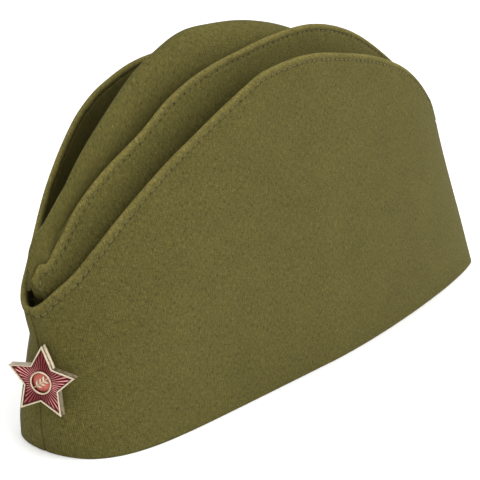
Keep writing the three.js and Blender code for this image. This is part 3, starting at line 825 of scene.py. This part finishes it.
# Section of the star's metal, from its back round to the floor of its pocket: height and how far in, in mm
STAR_SECTION = (
    (0.0, 0.25),
    (0.14, 0.07),
    (0.4, 0.0),
    (0.75, 0.03),
    (1.1, 0.08),
    (1.5, 0.13),
    (1.9, 0.15),
    (2.3, 0.12),
    (2.6, 0.07),
    (2.85, 0.03),
    (3.0, 0.04),
    (3.12, 0.1),
    (3.2, 0.22),
    (3.2, 0.44),
    (3.13, 0.56),
    (2.95, 0.62),
    (1.4, 0.68),
)


def badge_place():
    """From the star's own axes, with its face up, to its place on the front fold."""
    low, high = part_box("star_disc")
    x = Vector((math.cos(STAR_TURN), math.sin(STAR_TURN), 0))
    z = Vector((math.sin(STAR_TURN), -math.cos(STAR_TURN), 0))
    place = Matrix((x, z.cross(x), z)).transposed().to_4x4()
    place.translation = (low + high) / 2 - z * DISC_MIDDLE_ABOVE_BACK
    return place @ Matrix.Rotation(STAR_TILT, 4, "Z")


def star_side():
    """Distance from the star's middle to the lines that its sides lie on, and a side's length."""
    waist = STAR_RADIUS * STAR_WAIST
    length = math.hypot(STAR_RADIUS - waist * math.cos(STAR_STEP), waist * math.sin(STAR_STEP))
    return STAR_RADIUS * waist * math.sin(STAR_STEP) / length, length


def star_scale(inwards):
    """How much smaller a star is whose sides lie further in."""
    distance, _ = star_side()
    return (distance - inwards) / distance


def at_angle(angle, radius):
    return Vector((math.cos(angle), math.sin(angle))) * radius


def star_corners():
    """Corners of the star's outline: each tip has three, close together, and each notch has one."""
    _, length = star_side()
    share = STAR_TIP_ROUND / length
    corners = []
    for k in range(STAR_POINTS):
        angle = math.pi / 2 + 2 * STAR_STEP * k
        tip = at_angle(angle, STAR_RADIUS)
        before = at_angle(angle - STAR_STEP, STAR_RADIUS * STAR_WAIST)
        after = at_angle(angle + STAR_STEP, STAR_RADIUS * STAR_WAIST)
        into = tip.lerp(before, share)
        out = tip.lerp(after, share)
        corners += [into, (into + out) / 2 * (1 + STAR_TIP_PEAK * share), out, after]
    return corners


def star_radius_at(angle):
    """How far the star's outline is from its middle in each direction."""
    from_tip = np.abs((angle - math.pi / 2 + STAR_STEP) % (2 * STAR_STEP) - STAR_STEP)
    side = at_angle(STAR_STEP, STAR_RADIUS * STAR_WAIST) - Vector((STAR_RADIUS, 0))
    return STAR_RADIUS * side.y / (np.cos(from_tip) * side.y - np.sin(from_tip) * side.x)


def place_badge_piece(piece, name, material, slot, *nodes):
    piece.name = name
    piece.data.name = name
    piece.data.transform(badge_place())
    finish_piece(piece, material, slot, *nodes)


def star_metal():
    """The gilt tray: its back edge, a slightly hollow side and a rim round the pocket."""
    corners = star_corners()
    deselect()
    bpy.ops.mesh.primitive_circle_add(vertices=len(corners), radius=STAR_RADIUS, fill_type="NGON")
    tray = bpy.context.active_object
    for vertex, corner in zip(tray.data.vertices, corners):
        vertex.co = (corner.x, corner.y, 0)
    edit(tray)
    bpy.ops.mesh.normals_make_consistent(inside=False)
    height, inwards = STAR_SECTION[0]
    scale = star_scale(inwards * MM)
    bpy.ops.transform.resize(value=(scale, scale, 1), center_override=(0, 0, 0))
    for next_height, next_inwards in STAR_SECTION[1:]:
        rise = (next_height - height) * MM
        bpy.ops.mesh.extrude_region_move(TRANSFORM_OT_translate={"value": (0, 0, rise)})
        grow = star_scale(next_inwards * MM) / star_scale(inwards * MM)
        bpy.ops.transform.resize(value=(grow, grow, 1), center_override=(0, 0, 0))
        height, inwards = next_height, next_inwards
    bpy.ops.mesh.select_all(action="SELECT")
    bpy.ops.mesh.normals_make_consistent(inside=False)
    close_edit()
    bpy.ops.object.shade_smooth_by_angle(angle=METAL_SMOOTHING)
    return tray


# Enamel in the arms: how far inside the outline it ends, its lower and upper faces, how far the upper one
# falls towards the edge, and how finely it is divided
ENAMEL_EDGE = 0.7 * MM
ENAMEL_FLOOR = 1.5 * MM
ENAMEL_TOP = 2.75 * MM
ENAMEL_FALL = 0.25 * MM
ENAMEL_RINGS = 16
ENAMEL_DIRECTIONS = 720

# Its rays, which carry a painted glint: their number, rise and sharpness, the direction in which the glint
# is strongest and how much of it is left across it, their strength beside the ring, and how fast they gain
# it there and lose it at the edge
RAYS = 48
RAY_RISE = 0.16 * MM
RAY_SHARPNESS = 4
RAY_GLINT_DIRECTION = math.radians(-10)
RAY_LEAST_GLINT = 0.1
RAY_START = 0.35
RAY_GAIN = 4
RAY_LOSS = 8


def star_enamel():
    """Enamel over fine rays that spread from the middle into the five arms, with a painted glint along
    the rays that is strongest in one direction.
    """
    angle = 2 * np.pi * np.arange(ENAMEL_DIRECTIONS + 1) / ENAMEL_DIRECTIONS
    edge = star_radius_at(angle) * star_scale(ENAMEL_EDGE)
    ridge = (0.5 + 0.5 * np.cos(RAYS * angle)) ** RAY_SHARPNESS
    # Painted glint: the rays' pinkish colour is strongest in one direction, as if light fell from there
    glint_facing = blend(RAY_LEAST_GLINT, 1, np.cos(angle - RAY_GLINT_DIRECTION) ** 2)

    def ring(share, z):
        radius = blend(RING_RADIUS, edge, share)
        return np.column_stack([radius * np.cos(angle), radius * np.sin(angle), z + 0 * angle])

    rows = []
    ray_glints = []
    for share in np.arange(ENAMEL_RINGS + 1) / ENAMEL_RINGS:
        fade = min(1, RAY_LOSS * (1 - share)) * min(1, RAY_START + RAY_GAIN * share)
        rows.append(ring(share, ENAMEL_TOP + RAY_RISE * ridge * fade - ENAMEL_FALL * share))
        ray_glints.append(ridge * glint_facing * fade)
    rows += [ring(1, ENAMEL_FLOOR), ring(0, ENAMEL_FLOOR), rows[0]]
    ray_glints += [0 * ridge, 0 * ridge, ray_glints[0]]
    points = np.array(rows)
    return shaped_grid("star_enamel_glass", points, points[:, :, :2], ray=np.array(ray_glints))


def star_ring():
    deselect()
    bpy.ops.mesh.primitive_torus_add(
        major_radius=RING_RADIUS, minor_radius=RING_WIDTH / 2, major_segments=72, minor_segments=14)
    ring = bpy.context.active_object
    ring.data.transform(Matrix.Translation((0, 0, STAR_THICKNESS - RING_SINK)))
    bpy.ops.object.shade_smooth()
    return ring


# Sprig inside the ring. LEAF_TIP is a leaf's fullness near its ends, and LEAF_BACK how far back along the
# stem the leaves start, as a share of their spacing
LEAF_LENGTH = 2.3 * MM
LEAF_WIDTH = 0.85 * MM
LEAF_RISE = 0.5 * MM
LEAF_TIP = 0.45
LEAF_SPREAD = math.radians(46)
LEAF_SPACING = 1.7 * MM
LEAF_BACK = 0.45
STEM_WIDTH = 0.42 * MM
SPRIG_TURN = math.radians(40)
SPRIG_HEIGHT = 2.72 * MM


def sprig_leaf(x, turn):
    """A pointed leaf with a raised middle, growing from the stem."""
    deselect()
    bpy.ops.mesh.primitive_uv_sphere_add(segments=16, ring_count=10, radius=0.5)
    leaf = bpy.context.active_object
    leaf.data.transform(Matrix.Rotation(math.pi / 2, 4, "Y"))
    for vertex in leaf.data.vertices:
        vertex.co.y *= blend(1, LEAF_TIP, (2 * vertex.co.x) ** 2)
    edit(leaf)
    bpy.ops.transform.resize(value=(LEAF_LENGTH, LEAF_WIDTH, LEAF_RISE))
    close_edit()
    on_stem = Matrix.Translation((x, 0, 0)) @ Matrix.Rotation(turn, 4, "Z")
    leaf.data.transform(on_stem @ Matrix.Translation((LEAF_LENGTH / 2, 0, 0)))
    return leaf


def star_sprig():
    """A stem with three pairs of leaves, lying across the ring."""
    deselect()
    bpy.ops.mesh.primitive_cylinder_add(vertices=12, radius=STEM_WIDTH / 2, depth=2 * RING_RADIUS)
    stem = bpy.context.active_object
    stem.data.transform(Matrix.Rotation(math.pi / 2, 4, "Y"))
    leaves = []
    for pair in (-1, 0, 1):
        for hand in (-1, 1):
            leaves.append(sprig_leaf(LEAF_SPACING * (pair - LEAF_BACK), hand * LEAF_SPREAD))
    choose(stem, *leaves)
    bpy.ops.object.join()
    stem.data.transform(Matrix.Rotation(SPRIG_TURN, 4, "Z"))
    stem.data.transform(Matrix.Translation((0, 0, SPRIG_HEIGHT)))
    bpy.ops.object.shade_smooth_by_angle(angle=METAL_SMOOTHING)
    return stem


def star_disc():
    """The domed coral enamel inside the ring."""
    deselect()
    bpy.ops.mesh.primitive_uv_sphere_add(segments=64, ring_count=24, radius=1)
    disc = bpy.context.active_object
    edit(disc)
    bpy.ops.transform.resize(value=(RING_RADIUS, RING_RADIUS, MIDDLE_RISE))
    close_edit()
    disc.data.transform(Matrix.Translation((0, 0, MIDDLE_HEIGHT)))
    bpy.ops.object.shade_smooth()
    return disc


class CAP_OT_star(bpy.types.Operator):
    """Make the gilt star with its red enamel rays and its round middle"""

    bl_idname = "cap.star"
    bl_label = "Star badge"

    def execute(self, context):
        gilt = gilt_material()
        place_badge_piece(star_metal(), "star_metal", gilt, "gilt", "star_body")
        enamel = star_enamel()
        weld(enamel)
        place_badge_piece(enamel, "star_enamel_glass", enamel_material(), "red_enamel", "star_enamel")
        place_badge_piece(star_ring(), "star_ring", gilt, "gilt")
        place_badge_piece(star_sprig(), "star_sprig", gilt, "gilt")
        place_badge_piece(star_disc(), "star_middle", coral_material(), "coral_enamel", "star_disc")
        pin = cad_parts["badge_pin"]
        pin.data.materials.clear()
        pin.data.materials.append(steel_material())
        return {"FINISHED"}


# The spans of a noise's values that are stretched to a finish's own, softly or more firmly
SOFT_SPAN = (0.3, 0.7)
FIRM_SPAN = (0.35, 0.65)

# How often each finish changes in a metre
TWIST_SCALE = 1400.0
GILT_CLOUD_SCALE = 600.0
GILT_GRAIN_SCALE = 3500.0
ENAMEL_CLOUD_SCALE = 260.0
CORAL_CLOUD_SCALE = 420.0
STEEL_GRAIN_SCALE = (300, 2400, 300)


class Tree:
    """Short ways to add and join shader nodes."""

    def __init__(self, tree):
        self.tree = tree

    def node(self, kind, **settings):
        made = self.tree.nodes.new(kind)
        for key, value in settings.items():
            setattr(made, key, value)
        return made

    def feed(self, socket, value):
        if isinstance(value, bpy.types.NodeSocket):
            self.tree.links.new(value, socket)
        else:
            socket.default_value = value

    def math(self, operation, *values, clamp=False):
        made = self.node("ShaderNodeMath", operation=operation, use_clamp=clamp)
        for socket, value in zip(made.inputs, values):
            self.feed(socket, value)
        return made.outputs[0]

    def times(self, a, b, clamp=False):
        return self.math("MULTIPLY", a, b, clamp=clamp)

    def plus(self, a, b, clamp=False):
        return self.math("ADD", a, b, clamp=clamp)

    def distance(self, a, b):
        return self.math("ABSOLUTE", self.math("SUBTRACT", a, b))

    def noise(self, vector, scale, detail=2.0, roughness=0.5):
        made = self.node("ShaderNodeTexNoise")
        self.feed(made.inputs["Vector"], vector)
        made.inputs["Scale"].default_value = scale
        made.inputs["Detail"].default_value = detail
        made.inputs["Roughness"].default_value = roughness
        return made.outputs[0]

    def all_over(self):
        """Places on the whole piece, in metres."""
        return self.node("ShaderNodeTexCoord").outputs["Object"]

    def stretched(self, vector, scale):
        made = self.node("ShaderNodeMapping")
        self.feed(made.inputs["Vector"], vector)
        made.inputs["Scale"].default_value = scale
        return made.outputs[0]

    def span(self, value, low, high, to_low, to_high):
        """Takes a value from one span to another, clamped."""
        made = self.node("ShaderNodeMapRange", clamp=True)
        for socket, number in zip(made.inputs, (value, low, high, to_low, to_high)):
            self.feed(socket, number)
        return made.outputs[0]

    def mix(self, share, a, b):
        made = self.node("ShaderNodeMix", data_type="RGBA")
        self.feed(made.inputs[0], share)
        self.feed(made.inputs[6], a)
        self.feed(made.inputs[7], b)
        return made.outputs[2]

    def mottle(self, shader, noise, span, colour, dark, light):
        """Colours a finish from a darker to a lighter share of a colour, with a noise."""
        shares = self.span(noise, *span, 0.0, 1.0)
        dark_colour = rgba(dark * c for c in colour)
        light_colour = rgba(min(1, light * c) for c in colour)
        self.feed(shader.inputs["Base Color"], self.mix(shares, dark_colour, light_colour))

    def roughen(self, shader, noise, low, high):
        self.feed(shader.inputs["Roughness"], self.span(noise, *SOFT_SPAN, low, high))

    def bump(self, shader, height, strength, distance):
        made = self.node("ShaderNodeBump")
        self.feed(made.inputs["Height"], height)
        made.inputs["Strength"].default_value = strength
        made.inputs["Distance"].default_value = distance
        self.feed(shader.inputs["Normal"], made.outputs[0])


def rgba(colour):
    return (*colour, 1.0)


def set_inputs(node, values):
    for label, value in values.items():
        node.inputs[label].default_value = value


def new_group(name, inputs, outputs):
    """A shader node group with named sockets, and its first and last nodes."""
    group = bpy.data.node_groups.new(name, "ShaderNodeTree")
    for label, kind, default in inputs:
        socket = group.interface.new_socket(name=label, in_out="INPUT", socket_type=kind)
        if default is not None:
            socket.default_value = default
    for label, kind in outputs:
        group.interface.new_socket(name=label, in_out="OUTPUT", socket_type=kind)
    tree = Tree(group)
    start = tree.node("NodeGroupInput")
    end = tree.node("NodeGroupOutput")
    return tree, start.outputs, end.inputs


# Irregular yarns and flecks of the cloth: how often each changes in a metre along the two thread
# directions, and the detail and roughness of the noise
YARN_NOISES = {
    "warp yarn": ((2100, 620, 1), 2.0, 0.6),
    "warp slub": ((1100, 210, 1), 1.0, 0.5),
    "weft yarn": ((520, 2100, 1), 2.0, 0.5),
    "fleck": ((1700, 600, 1), 0.0, 0.5),
}

# Patches of the cloth: how often each changes in a metre, its detail and its roughness
PATCH_NOISES = {
    "patch": (70.0, 3.0, 0.55),
    "broad patch": (16.0, 2.0, 0.5),
}

# How each of them shades the cloth: a span of its values, and the brightness at the span's two ends
CLOTH_SHADES = (
    ("warp yarn", 0.3, 0.7, 0.71, 1.29),
    ("warp slub", 0.3, 0.7, 0.93, 1.07),
    ("weft yarn", 0.3, 0.7, 0.81, 1.19),
    ("patch", 0.3, 0.7, 0.95, 1.05),
    ("broad patch", 0.3, 0.7, 0.96, 1.04),
    ("weave", 0.0, 1.0, 0.74, 1.16),
    ("fleck", 0.7, 0.78, 1.0, 0.62),
    ("fleck", 0.22, 0.3, 1.3, 1.0),
)
CLOTH_HEIGHTS = (("weave", 0.6), ("warp yarn", 0.7), ("weft yarn", 0.4))
RUB_AND_HIGHLIGHT_SPAN = (0.25, 0.7, 0.5, 1.0)
COTTON_ROUGHNESS = (0.3, 0.7, 0.86, 0.98)


def woven_cotton_group():
    """Plain weave on the flat cloth: its colour with slubs, rubbing and a painted edge highlight, and its
    height.
    """
    name = "Woven cotton"
    if name in bpy.data.node_groups:
        return bpy.data.node_groups[name]
    tree, given, result = new_group(
        name,
        (
            ("Flat place", "NodeSocketVector", None),
            ("Colour", "NodeSocketColor", (0.1, 0.1, 0.1, 1)),
            ("Worn colour", "NodeSocketColor", (0.2, 0.2, 0.2, 1)),
            ("Wear", "NodeSocketFloat", 0.0),
            ("Threads per metre", "NodeSocketFloat", 2000.0),
        ),
        (("Colour", "NodeSocketColor"), ("Height", "NodeSocketFloat"), ("Roughness", "NodeSocketFloat")),
    )
    flat = given["Flat place"]
    split = tree.node("ShaderNodeSeparateXYZ")
    tree.feed(split.inputs[0], flat)
    threads = [tree.times(split.outputs[k], given["Threads per metre"]) for k in range(2)]
    warp, weft = [tree.math("SINE", tree.times(thread, math.pi)) for thread in threads]
    parts = {"weave": tree.math("ABSOLUTE", tree.times(warp, weft))}
    for label, (scale, detail, roughness) in YARN_NOISES.items():
        parts[label] = tree.noise(tree.stretched(flat, scale), 1.0, detail, roughness)
    for label, (scale, detail, roughness) in PATCH_NOISES.items():
        parts[label] = tree.noise(flat, scale, detail, roughness)
    shade = 1.0
    for label, *span in CLOTH_SHADES:
        shade = tree.times(shade, tree.span(parts[label], *span))
    # The wear input holds the rubbing and the painted edge highlight, and both lighten towards the worn
    # colour
    rubbed_and_highlit = tree.times(given["Wear"], tree.span(parts["patch"], *RUB_AND_HIGHLIGHT_SPAN), clamp=True)
    base = tree.mix(rubbed_and_highlit, given["Colour"], given["Worn colour"])
    scaled = tree.node("ShaderNodeVectorMath", operation="SCALE")
    tree.feed(scaled.inputs[0], base)
    tree.feed(scaled.inputs["Scale"], shade)
    tree.feed(result["Colour"], scaled.outputs[0])
    height = 0.0
    for label, share in CLOTH_HEIGHTS:
        height = tree.plus(height, tree.times(parts[label], share))
    tree.feed(result["Height"], height)
    tree.feed(result["Roughness"], tree.span(parts["warp yarn"], *COTTON_ROUGHNESS))
    return tree.tree


# A needle hole's reach across the line and, as a share of the pitch, along it. The furrow's reach across.
HOLE_ACROSS = (0.25 * MM, 0.55 * MM, 1.0, 0.0)
HOLE_ALONG = (0.05, 0.19, 1.0, 0.0)
HOLE_UNEVEN = (0.35, 0.6, 0.25, 1.0)
FURROW_ACROSS = (0.2 * MM, 0.7 * MM, 1.0, 0.0)


def stitch_line_group():
    """Needle holes and the furrow along a stitched line, each from 0 to 1: masks for the painted shade
    there, and for the holes' depth.
    """
    name = "Stitched line"
    if name in bpy.data.node_groups:
        return bpy.data.node_groups[name]
    tree, given, result = new_group(
        name,
        (
            ("Below the edge", "NodeSocketFloat", 0.01),
            ("Stitches along", "NodeSocketFloat", 0.0),
            ("Line", "NodeSocketFloat", 0.0026),
        ),
        (("Hole", "NodeSocketFloat"), ("Furrow", "NodeSocketFloat")),
    )
    off = tree.distance(given["Below the edge"], given["Line"])
    along = tree.distance(tree.math("FRACT", given["Stitches along"]), 0.5)
    hole = tree.times(tree.span(off, *HOLE_ACROSS), tree.span(along, *HOLE_ALONG))
    uneven = tree.node("ShaderNodeTexNoise", noise_dimensions="1D")
    tree.feed(uneven.inputs["W"], given["Stitches along"])
    uneven.inputs["Scale"].default_value = 0.9
    tree.feed(result["Hole"], tree.times(hole, tree.span(uneven.outputs[0], *HOLE_UNEVEN)))
    tree.feed(result["Furrow"], tree.span(off, *FURROW_ACROSS))
    return tree.tree


def new_material(name):
    """A material with its tree and its shader."""
    material = bpy.data.materials.new(name)
    material.use_nodes = True
    shader = material.node_tree.nodes["Principled BSDF"]
    return material, Tree(material.node_tree), shader


# How dark the painted shade in the needle holes and along the furrow is, and how deep the holes are beside
# the weave
HOLE_SHADE_DARKNESS = 0.6
HOLE_DEPTH = 2.0
FURROW_SHADE_DARKNESS = 0.12
HOLE_SHADE_COLOUR = (0.022, 0.018, 0.006, 1)


def cotton_material():
    name = "Olive cotton"
    if name in bpy.data.materials:
        return bpy.data.materials[name]
    colours = bpy.context.scene.cap_colours
    material, tree, shader = new_material(name)
    place = tree.node("ShaderNodeUVMap", uv_map="cloth")
    # The walls' rubbing and painted edge highlight
    wear = tree.node("ShaderNodeAttribute", attribute_name="wear")
    cloth = tree.node("ShaderNodeGroup", node_tree=woven_cotton_group())
    tree.feed(cloth.inputs["Flat place"], place.outputs[0])
    tree.feed(cloth.inputs["Wear"], wear.outputs["Fac"])
    cloth.inputs["Colour"].default_value = rgba(colours.cotton)
    cloth.inputs["Worn colour"].default_value = rgba(colours.worn_and_highlit)
    cloth.inputs["Threads per metre"].default_value = 1 / bpy.context.scene.cap_sizes.thread_pitch
    seam = tree.node("ShaderNodeGroup", node_tree=stitch_line_group())
    below = tree.node("ShaderNodeAttribute", attribute_name="below")
    stitch = tree.node("ShaderNodeAttribute", attribute_name="stitch")
    tree.feed(seam.inputs["Below the edge"], below.outputs["Fac"])
    tree.feed(seam.inputs["Stitches along"], stitch.outputs["Fac"])
    seam.inputs["Line"].default_value = bpy.context.scene.cap_sizes.hem_width
    hole = seam.outputs["Hole"]
    furrow = seam.outputs["Furrow"]
    # Painted shade: the needle holes and the furrow are darkened in the colour
    dark = tree.plus(tree.times(hole, HOLE_SHADE_DARKNESS), tree.times(furrow, FURROW_SHADE_DARKNESS), clamp=True)
    tree.feed(shader.inputs["Base Color"], tree.mix(dark, cloth.outputs["Colour"], HOLE_SHADE_COLOUR))
    tree.feed(shader.inputs["Roughness"], cloth.outputs["Roughness"])
    sunk = tree.math("SUBTRACT", cloth.outputs["Height"], tree.times(hole, HOLE_DEPTH))
    tree.bump(shader, sunk, strength=0.6, distance=0.14 * MM)
    set_inputs(shader, {
        "Specular IOR Level": 0.12,
        "Sheen Weight": 0.05,
        "Sheen Roughness": 0.5,
        "Sheen Tint": rgba(colours.worn_and_highlit),
    })
    return material


def thread_material():
    name = "Sewing thread"
    if name in bpy.data.materials:
        return bpy.data.materials[name]
    colours = bpy.context.scene.cap_colours
    material, tree, shader = new_material(name)
    twist = tree.noise(tree.all_over(), TWIST_SCALE, detail=2.0)
    tree.mottle(shader, twist, SOFT_SPAN, colours.thread, dark=0.8, light=1.25)
    tree.roughen(shader, twist, 0.6, 0.8)
    return material


def gilt_material():
    colours = bpy.context.scene.cap_colours
    material, tree, shader = new_material("Pale gilt")
    place = tree.all_over()
    cloud = tree.noise(place, GILT_CLOUD_SCALE, detail=3.0)
    grain = tree.noise(place, GILT_GRAIN_SCALE, detail=2.0)
    tree.mottle(shader, cloud, FIRM_SPAN, colours.gilt, dark=0.82, light=1.08)
    tree.roughen(shader, cloud, 0.34, 0.5)
    tree.bump(shader, grain, strength=0.25, distance=0.05 * MM)
    set_inputs(shader, {"Metallic": 1.0})
    return material


def enamel_material():
    colours = bpy.context.scene.cap_colours
    material, tree, shader = new_material("Red enamel")
    # The rays' painted glint mixes the deep red towards the pinkish highlight colour
    ray_glints = tree.node("ShaderNodeAttribute", attribute_name="ray")
    cloud = tree.noise(tree.all_over(), ENAMEL_CLOUD_SCALE, detail=2.0)
    share = tree.times(ray_glints.outputs["Fac"], tree.span(cloud, *FIRM_SPAN, 0.6, 1.2), clamp=True)
    tree.feed(shader.inputs["Base Color"], tree.mix(share, rgba(colours.enamel), rgba(colours.enamel_glint)))
    tree.roughen(shader, cloud, 0.16, 0.24)
    set_inputs(shader, {"Specular IOR Level": 0.06, "Coat Weight": 0.04, "Coat Roughness": 0.06})
    return material


def coral_material():
    colours = bpy.context.scene.cap_colours
    material, tree, shader = new_material("Coral enamel")
    cloud = tree.noise(tree.all_over(), CORAL_CLOUD_SCALE, detail=3.0)
    tree.mottle(shader, cloud, SOFT_SPAN, colours.coral, dark=0.75, light=1.25)
    tree.roughen(shader, cloud, 0.2, 0.3)
    set_inputs(shader, {"Specular IOR Level": 0.15, "Coat Weight": 0.1})
    return material


def steel_material():
    material, tree, shader = new_material("Plain steel")
    grain = tree.noise(tree.stretched(tree.all_over(), STEEL_GRAIN_SCALE), 1.0, detail=3.0)
    tree.feed(shader.inputs["Base Color"], tree.mix(grain, (0.42, 0.41, 0.39, 1), (0.66, 0.64, 0.6, 1)))
    tree.roughen(shader, grain, 0.3, 0.5)
    set_inputs(shader, {"Metallic": 1.0})
    return material


# The point that the camera looks at, from the middle of the rim, and the height that it stands off from
LOOK_AT = Vector((-9.5, -13.65, 46)) * MM
LOOK_FROM_HEIGHT = 60 * MM
SENSOR_WIDTH = 36
FLOOR_SIZE = 12
FLOOR_WHITE = 0.97

# The soft lights: each one's place and width in metres. They all point at one place over the cap's middle.
LIGHTS = {
    "key": ((1.3, 0.4, 1.7), 1.4),
    "back": ((1.2, 1.5, 0.9), 1.2),
    "top": ((0.1, -0.4, 2), 2.4),
    "fill": ((1.1, -0.5, 0.65), 0.7),
}
LIGHTS_AIM = Vector((0, 0, 0.07))


def soft_light(name, place, size, power):
    deselect()
    bpy.ops.object.light_add(type="AREA", location=place)
    light = bpy.context.active_object
    light.name = name
    light.data.shape = "DISK"
    light.data.size = size
    light.data.energy = power
    light.rotation_euler = (LIGHTS_AIM - Vector(place)).to_track_quat("-Z", "Y").to_euler()


class CAP_OT_stage(bpy.types.Operator):
    """Set up the camera, the soft light and the pale floor"""

    bl_idname = "cap.stage"
    bl_label = "Stage"

    def execute(self, context):
        stage = context.scene.cap_stage
        turn = stage.azimuth
        rise = stage.elevation
        back = Vector((math.sin(turn) * math.cos(rise), -math.cos(turn) * math.cos(rise), math.sin(rise)))
        right = Vector((math.cos(turn), math.sin(turn), 0))
        middle = Vector((0, (RIM_FRONT + RIM_BACK) / 2, 0))
        eye = middle + Vector((0, 0, LOOK_FROM_HEIGHT)) + back * stage.distance
        away = (eye - middle - LOOK_AT).normalized()
        level = (right - away * right.dot(away)).normalized()
        deselect()
        bpy.ops.object.camera_add(location=eye)
        camera = context.active_object
        camera.name = "camera"
        camera.rotation_mode = "QUATERNION"
        camera.rotation_quaternion = Matrix((level, away.cross(level), away)).transposed().to_quaternion()
        camera.data.lens = stage.lens
        camera.data.sensor_width = SENSOR_WIDTH
        camera.data.clip_start = 0.01
        context.scene.camera = camera

        deselect()
        bpy.ops.mesh.primitive_plane_add(size=FLOOR_SIZE, location=(0, 0, 0))
        floor = context.active_object
        floor.name = "floor"
        material, _, shader = new_material("Pale floor")
        white = rgba([FLOOR_WHITE] * 3)
        set_inputs(shader, {"Base Color": white, "Roughness": 0.9, "Specular IOR Level": 0.0})
        floor.data.materials.append(material)

        for name, (place, size) in LIGHTS.items():
            soft_light(name, place, size, getattr(stage, name))
        world = bpy.data.worlds.new("White room")
        world.use_nodes = True
        set_inputs(world.node_tree.nodes["Background"], {"Color": (1, 1, 1, 1), "Strength": stage.sky})
        context.scene.world = world
        context.scene.view_settings.view_transform = "Standard"
        context.scene.view_settings.look = "None"
        return {"FINISHED"}


class CAP_PT_panel(bpy.types.Panel):
    """Lists the cap's sizes, colours and steps"""

    bl_label = "Side cap"
    bl_idname = "CAP_PT_panel"
    bl_space_type = "VIEW_3D"
    bl_region_type = "UI"
    bl_category = "Cap"

    def draw(self, context):
        column = self.layout.column()
        for group in (context.scene.cap_sizes, context.scene.cap_colours, context.scene.cap_stage):
            for name in group.__annotations__:
                column.prop(group, name)
        for step in STEPS:
            column.operator(step.bl_idname)


STEPS = (CAP_OT_stage, CAP_OT_flaps, CAP_OT_crown_sides, CAP_OT_crown_top, CAP_OT_star)
GROUPS = (("cap_sizes", CapSizes), ("cap_colours", CapColours), ("cap_stage", CapStage))


def register():
    for name, group in GROUPS:
        bpy.utils.register_class(group)
        setattr(bpy.types.Scene, name, bpy.props.PointerProperty(type=group))
    for step in (*STEPS, CAP_PT_panel):
        bpy.utils.register_class(step)


def unregister():
    for step in (CAP_PT_panel, *reversed(STEPS)):
        bpy.utils.unregister_class(step)
    for name, group in reversed(GROUPS):
        delattr(bpy.types.Scene, name)
        bpy.utils.unregister_class(group)


def main():
    register()
    bpy.ops.cap.stage()
    bpy.ops.cap.flaps()
    bpy.ops.cap.crown_sides()
    bpy.ops.cap.crown_top()
    bpy.ops.cap.star()


if __name__ == "__main__":
    main()
